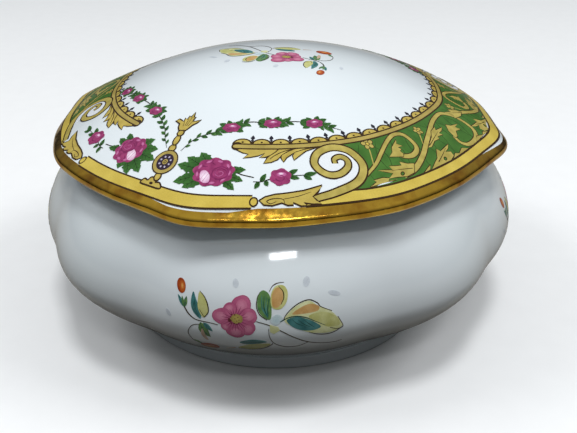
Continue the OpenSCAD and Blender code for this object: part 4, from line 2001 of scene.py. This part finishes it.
@dataclass
class Lid:
    """The domed lid with its flange, its gilded lip and its printed pattern."""

    form: LidForm
    finishes: Finishes
    dome_rings: int = 44
    gold_top: float = 45.55
    gold_line: Points = ((-75, 45.22), (-13, 45.22), (-4, 45.7), (9, 45.7), (15, 45.25),
                         (76, 45.25), (88, 45.85), (100, 45.85), (150, 45.5), (190, 45.8),
                         (240, 45.6))
    gold_turn: float = -68.0
    gold_thick: float = 0.06
    gold_bite: float = 0.04
    gold_feather: float = 0.2
    gold_tremor: float = 0.12
    hub_r: float = 0.5
    inner_edge: float = 0.5
    flange_edge: float = 0.8
    roof_fillet: float = 1.0
    lift: float = 0.022
    layer: float = 0.008
    spray_pitch: float = 0.6
    crown_spray: Point = (3.7, -1.3)
    crown_turn: float = 183.5
    crown_size: float = 0.93

    def section(self) -> list[Place]:
        """The lid's section, from the crown over the lip and under to the hollow's roof.

        Returns:
            Radius, height and weight of the corners and the droop, ring by ring.
        """
        f = self.form
        dome = [*np.linspace(self.hub_r, f.droop_from, self.dome_rings),
                *np.linspace(f.droop_from, f.dome_r, 6)[1:-1]]
        section = [(r, f.height(r), 1.0) for r in dome]
        turns = np.linspace(f.lip_top, -90, 16)
        section += [(*f.lip(t), 1.0) for t in turns]
        under = [((f.lip_centre_r + f.flange_r) / 2, 0.0),
                 *rounded((f.flange_r, 0), (f.lip_centre_r, 0), (f.flange_r, -2),
                          self.inner_edge),
                 *rounded((f.flange_r, -f.flange_h), (f.flange_r, 0), (f.hollow_r, -f.flange_h),
                          self.flange_edge),
                 *rounded((f.hollow_r, -f.flange_h), (f.flange_r, -f.flange_h), (f.hollow_r, 0),
                          self.flange_edge)]
        roof = f.height(f.hollow_r) - f.wall
        under += rounded((f.hollow_r, roof), (f.hollow_r, -f.flange_h),
                         (f.hollow_r - 2, f.height(f.hollow_r - 2) - f.wall), self.roof_fillet)
        under += [(r, f.height(r) - f.wall)
                  for r in np.linspace(f.hollow_r - 1.6, self.hub_r, 24)]
        fading = [(r, z, 0.5 if k == 0 else 0.0) for k, (r, z) in enumerate(under)]
        return section + fading

    def place(self, radius: float, height: float, weight: float,
              angle: float) -> Place:
        """Where a point of the section goes, with the corners of the lid's edge.

        Args:
            radius: Radius of the section.
            height: Height above the seat.
            weight: Share of the corners and the droop that it follows.
            angle: Angle from the lid's front.

        Returns:
            The point in the part's frame.
        """
        f = self.form
        spread = radius + weight * (f.spread(radius, angle) - radius)
        x, y = on_round(spread, angle + f.turn)
        return x, y, f.seat_z + height - weight * f.sag(radius, angle)

    def body(self) -> bpy.types.Object:
        """Builds the glazed lid.

        Returns:
            The piece.
        """
        piece = turned("lid_shell", self.section(), self.place)
        smooth(piece, 50)
        return settle(piece, self.finishes.porcelain, "lid", "lid")

    def gilding(self) -> bpy.types.Object:
        """Builds the gold that wraps the lip, with its hand-lined upper edge.

        Returns:
            The piece.
        """
        f = self.form
        dome = [f.dome_r + (self.gold_top - f.dome_r) * (k / 3) for k in range(1, 4)]
        turns = np.linspace(self.gold_turn, f.lip_top, 18)
        outer = [(*f.lip(t, self.gold_thick), 1.0) for t in turns]
        depths = (self.gold_thick, self.gold_thick, self.gold_thick * self.gold_feather)
        outer += [(r, f.height(r) + depth, 1.0) for r, depth in zip(dome, depths)]
        inner = [(r, f.height(r) - self.gold_bite, 1.0) for r in reversed(dome)]
        inner += [(*f.lip(t, -self.gold_bite), 1.0) for t in reversed(turns)]
        piece = turned("lip_gilding", outer + inner, self.lined, closed=True)
        smooth(piece, 60)
        return settle(piece, self.finishes.gold, "lid", "rim_gilding")

    def lined(self, radius: float, height: float, weight: float,
              angle: float) -> Place:
        """Where a point of the gold goes: its upper edge wavers a little, as a brush does.

        Args:
            radius: Radius of the section.
            height: Height above the seat.
            weight: Share of the corners and the droop that it follows.
            angle: Angle from the lid's front.

        Returns:
            The point in the part's frame.
        """
        f = self.form
        waver = 0.0
        if radius < f.dome_r:
            share = (f.dome_r - radius) / (f.dome_r - self.gold_top)
            tremor = noise.noise(Vector((3 * math.sin(math.radians(angle)),
                                         3 * math.cos(math.radians(angle)), 4.2)))
            knots, reaches = zip(*self.gold_line)
            laid = float(np.interp(angle, knots, reaches, period=360))
            waver = share * (laid - self.gold_top + self.gold_tremor * tremor)
        rise = f.slope(radius) * waver if waver else 0.0
        return self.place(radius + waver, height + rise, weight, angle)

    def transfers(self) -> None:
        """Lays the printed pattern, film by film."""
        art = LidTransfers(self.form)
        films = (("lid_green_panels", art.panel, 1.0), ("lid_border_bands", art.border, 1.2),
                 ("lid_lace", art.lace, 1.0), ("lid_volutes", art.volutes, 1.0),
                 ("lid_medallions", art.medallion, 0.8), ("lid_garlands", art.garlands, 0.6),
                 ("lid_rose_sprays", art.roses, 0.5))
        for order, (name, draw, pitch) in enumerate(films):
            sheet = art.halves(draw)
            piece = sheet.lay(name, art.place, self.lift + self.layer * order, pitch)
            settle(piece, self.finishes.transfer, "lid")
        sheet = Sheet()
        Spray().draw(Pen(sheet, self.crown_spray, self.crown_turn, self.crown_size))
        piece = sheet.lay("lid_crown_spray", art.place, self.lift, self.spray_pitch)
        settle(piece, self.finishes.transfer, "lid")

    def build(self) -> None:
        """Builds the lid, its gold and its decoration."""
        self.body()
        self.gilding()
        self.transfers()


# The studio

@dataclass
class Studio:
    """The pale floor, the soft lights and the camera."""

    paper: bpy.types.Material
    aim: Place = (0.0, 0.0, 23.9)
    distance: float = 174.6
    elevation: float = 25.45
    azimuth: float = 5.0
    roll: float = -0.7
    lens: float = 48.04
    shift: Point = (0.020, -0.051)
    floor_r: float = 1.6
    daylight: str = "#fafcff"
    room: str = "#e9eef2"
    backdrop: float = 0.95

    def floor(self) -> None:
        """Lays the paper, a broad disc that runs out of view."""
        only_select()
        bpy.ops.mesh.primitive_circle_add(vertices=96, radius=self.floor_r, fill_type="NGON")
        floor = bpy.context.object
        floor.name = "studio_floor"
        floor.data.materials.append(self.paper)

    def camera(self) -> None:
        """Sets the camera in front, a little to the right and above."""
        data = bpy.data.cameras.new("studio_camera")
        camera = bpy.data.objects.new("studio_camera", data)
        bpy.context.scene.collection.objects.link(camera)
        bpy.context.scene.camera = camera
        data.lens = self.lens
        data.shift_x, data.shift_y = self.shift
        data.clip_start, data.clip_end = 0.01, 20.0
        data.dof.use_dof = False
        x, y = on_round(self.distance * math.cos(math.radians(self.elevation)), self.azimuth)
        z = self.aim[2] + self.distance * math.sin(math.radians(self.elevation))
        camera.location = Vector((x, y, z)) * MM
        ahead = Vector(self.aim) * MM - camera.location
        camera.rotation_mode = "QUATERNION"
        level = ahead.to_track_quat("-Z", "Y")
        camera.rotation_quaternion = level @ Quaternion((0, 0, 1), math.radians(self.roll))

    def softbox(self, name: str, place: Place, size: Point, power: float,
                mirrored: bool = False) -> None:
        """Hangs a softbox that faces the box.

        Args:
            name: The light's name.
            place: Where it hangs, in metres.
            size: Its width and height, in metres.
            power: Its power in watts.
            mirrored: True if the glaze and the gold show its reflection.
        """
        data = bpy.data.lights.new(name, "AREA")
        data.shape = "RECTANGLE"
        data.size, data.size_y = size
        data.energy = power
        data.color = linear(self.daylight)[:3]
        light = bpy.data.objects.new(name, data)
        bpy.context.scene.collection.objects.link(light)
        light.location = place
        back = Vector(place) - Vector((0, 0, 0.03))
        light.rotation_euler = back.to_track_quat("Z", "Y").to_euler()
        light.visible_glossy = mirrored

    def lights(self) -> None:
        """Hangs the softboxes and sets the room.

        The room lights the box from overhead and is dark at the horizon, so the lip shades the
        bowl. The camera sees it as an even pale backdrop.
        """
        self.softbox("key_softbox", (0.05, -0.22, 0.88), (0.18, 0.18), 3.1)
        self.softbox("left_softbox", (-0.55, -0.06, 0.7), (0.3, 0.3), 1.9)
        self.softbox("right_softbox", (0.55, -0.06, 0.7), (0.3, 0.3), 2.3)
        self.softbox("window", (0.097, -0.545, 0.676), (0.17, 0.065), 0.8, mirrored=True)
        world = bpy.data.worlds.new("studio_room")
        world.use_nodes = True
        tree = world.node_tree
        tree.nodes.clear()
        around = add_node(tree, "ShaderNodeTexCoord")
        height = add_node(tree, "ShaderNodeSeparateXYZ", {}, {0: around.outputs["Generated"]})
        glow = add_node(tree, "ShaderNodeMapRange",
                        {"From Min": 0.1, "From Max": 0.8, "To Min": 0.03, "To Max": 0.5},
                        {"Value": height.outputs["Z"]})
        rays = add_node(tree, "ShaderNodeLightPath")
        strength = add_node(tree, "ShaderNodeMix", {"data_type": "FLOAT", 3: self.backdrop},
                            {0: rays.outputs["Is Camera Ray"], 2: glow.outputs["Result"]})
        room = add_node(tree, "ShaderNodeBackground", {"Color": linear(self.room)},
                        {"Strength": strength.outputs[0]})
        add_node(tree, "ShaderNodeOutputWorld", {}, {"Surface": room.outputs["Background"]})
        bpy.context.scene.world = world
        bpy.context.scene.view_settings.view_transform = "Standard"

    def build(self) -> None:
        """Sets up the studio."""
        self.camera()
        self.floor()
        self.lights()


def main() -> None:
    """Builds the box round its frame."""
    logging.basicConfig(level=logging.INFO, format="%(name)s: %(message)s")
    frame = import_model()
    log.info("frame: %s", ", ".join(sorted(frame["nodes"])))
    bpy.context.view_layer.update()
    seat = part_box("bowl")[1].z / MM
    finishes = Finishes.make()
    Studio(finishes.paper).build()
    Bowl(BowlForm(bowl_h=round(seat, 2)), finishes).build()
    Lid(LidForm(seat_z=round(seat, 2)), finishes).build()


if __name__ == "__main__":
    main()
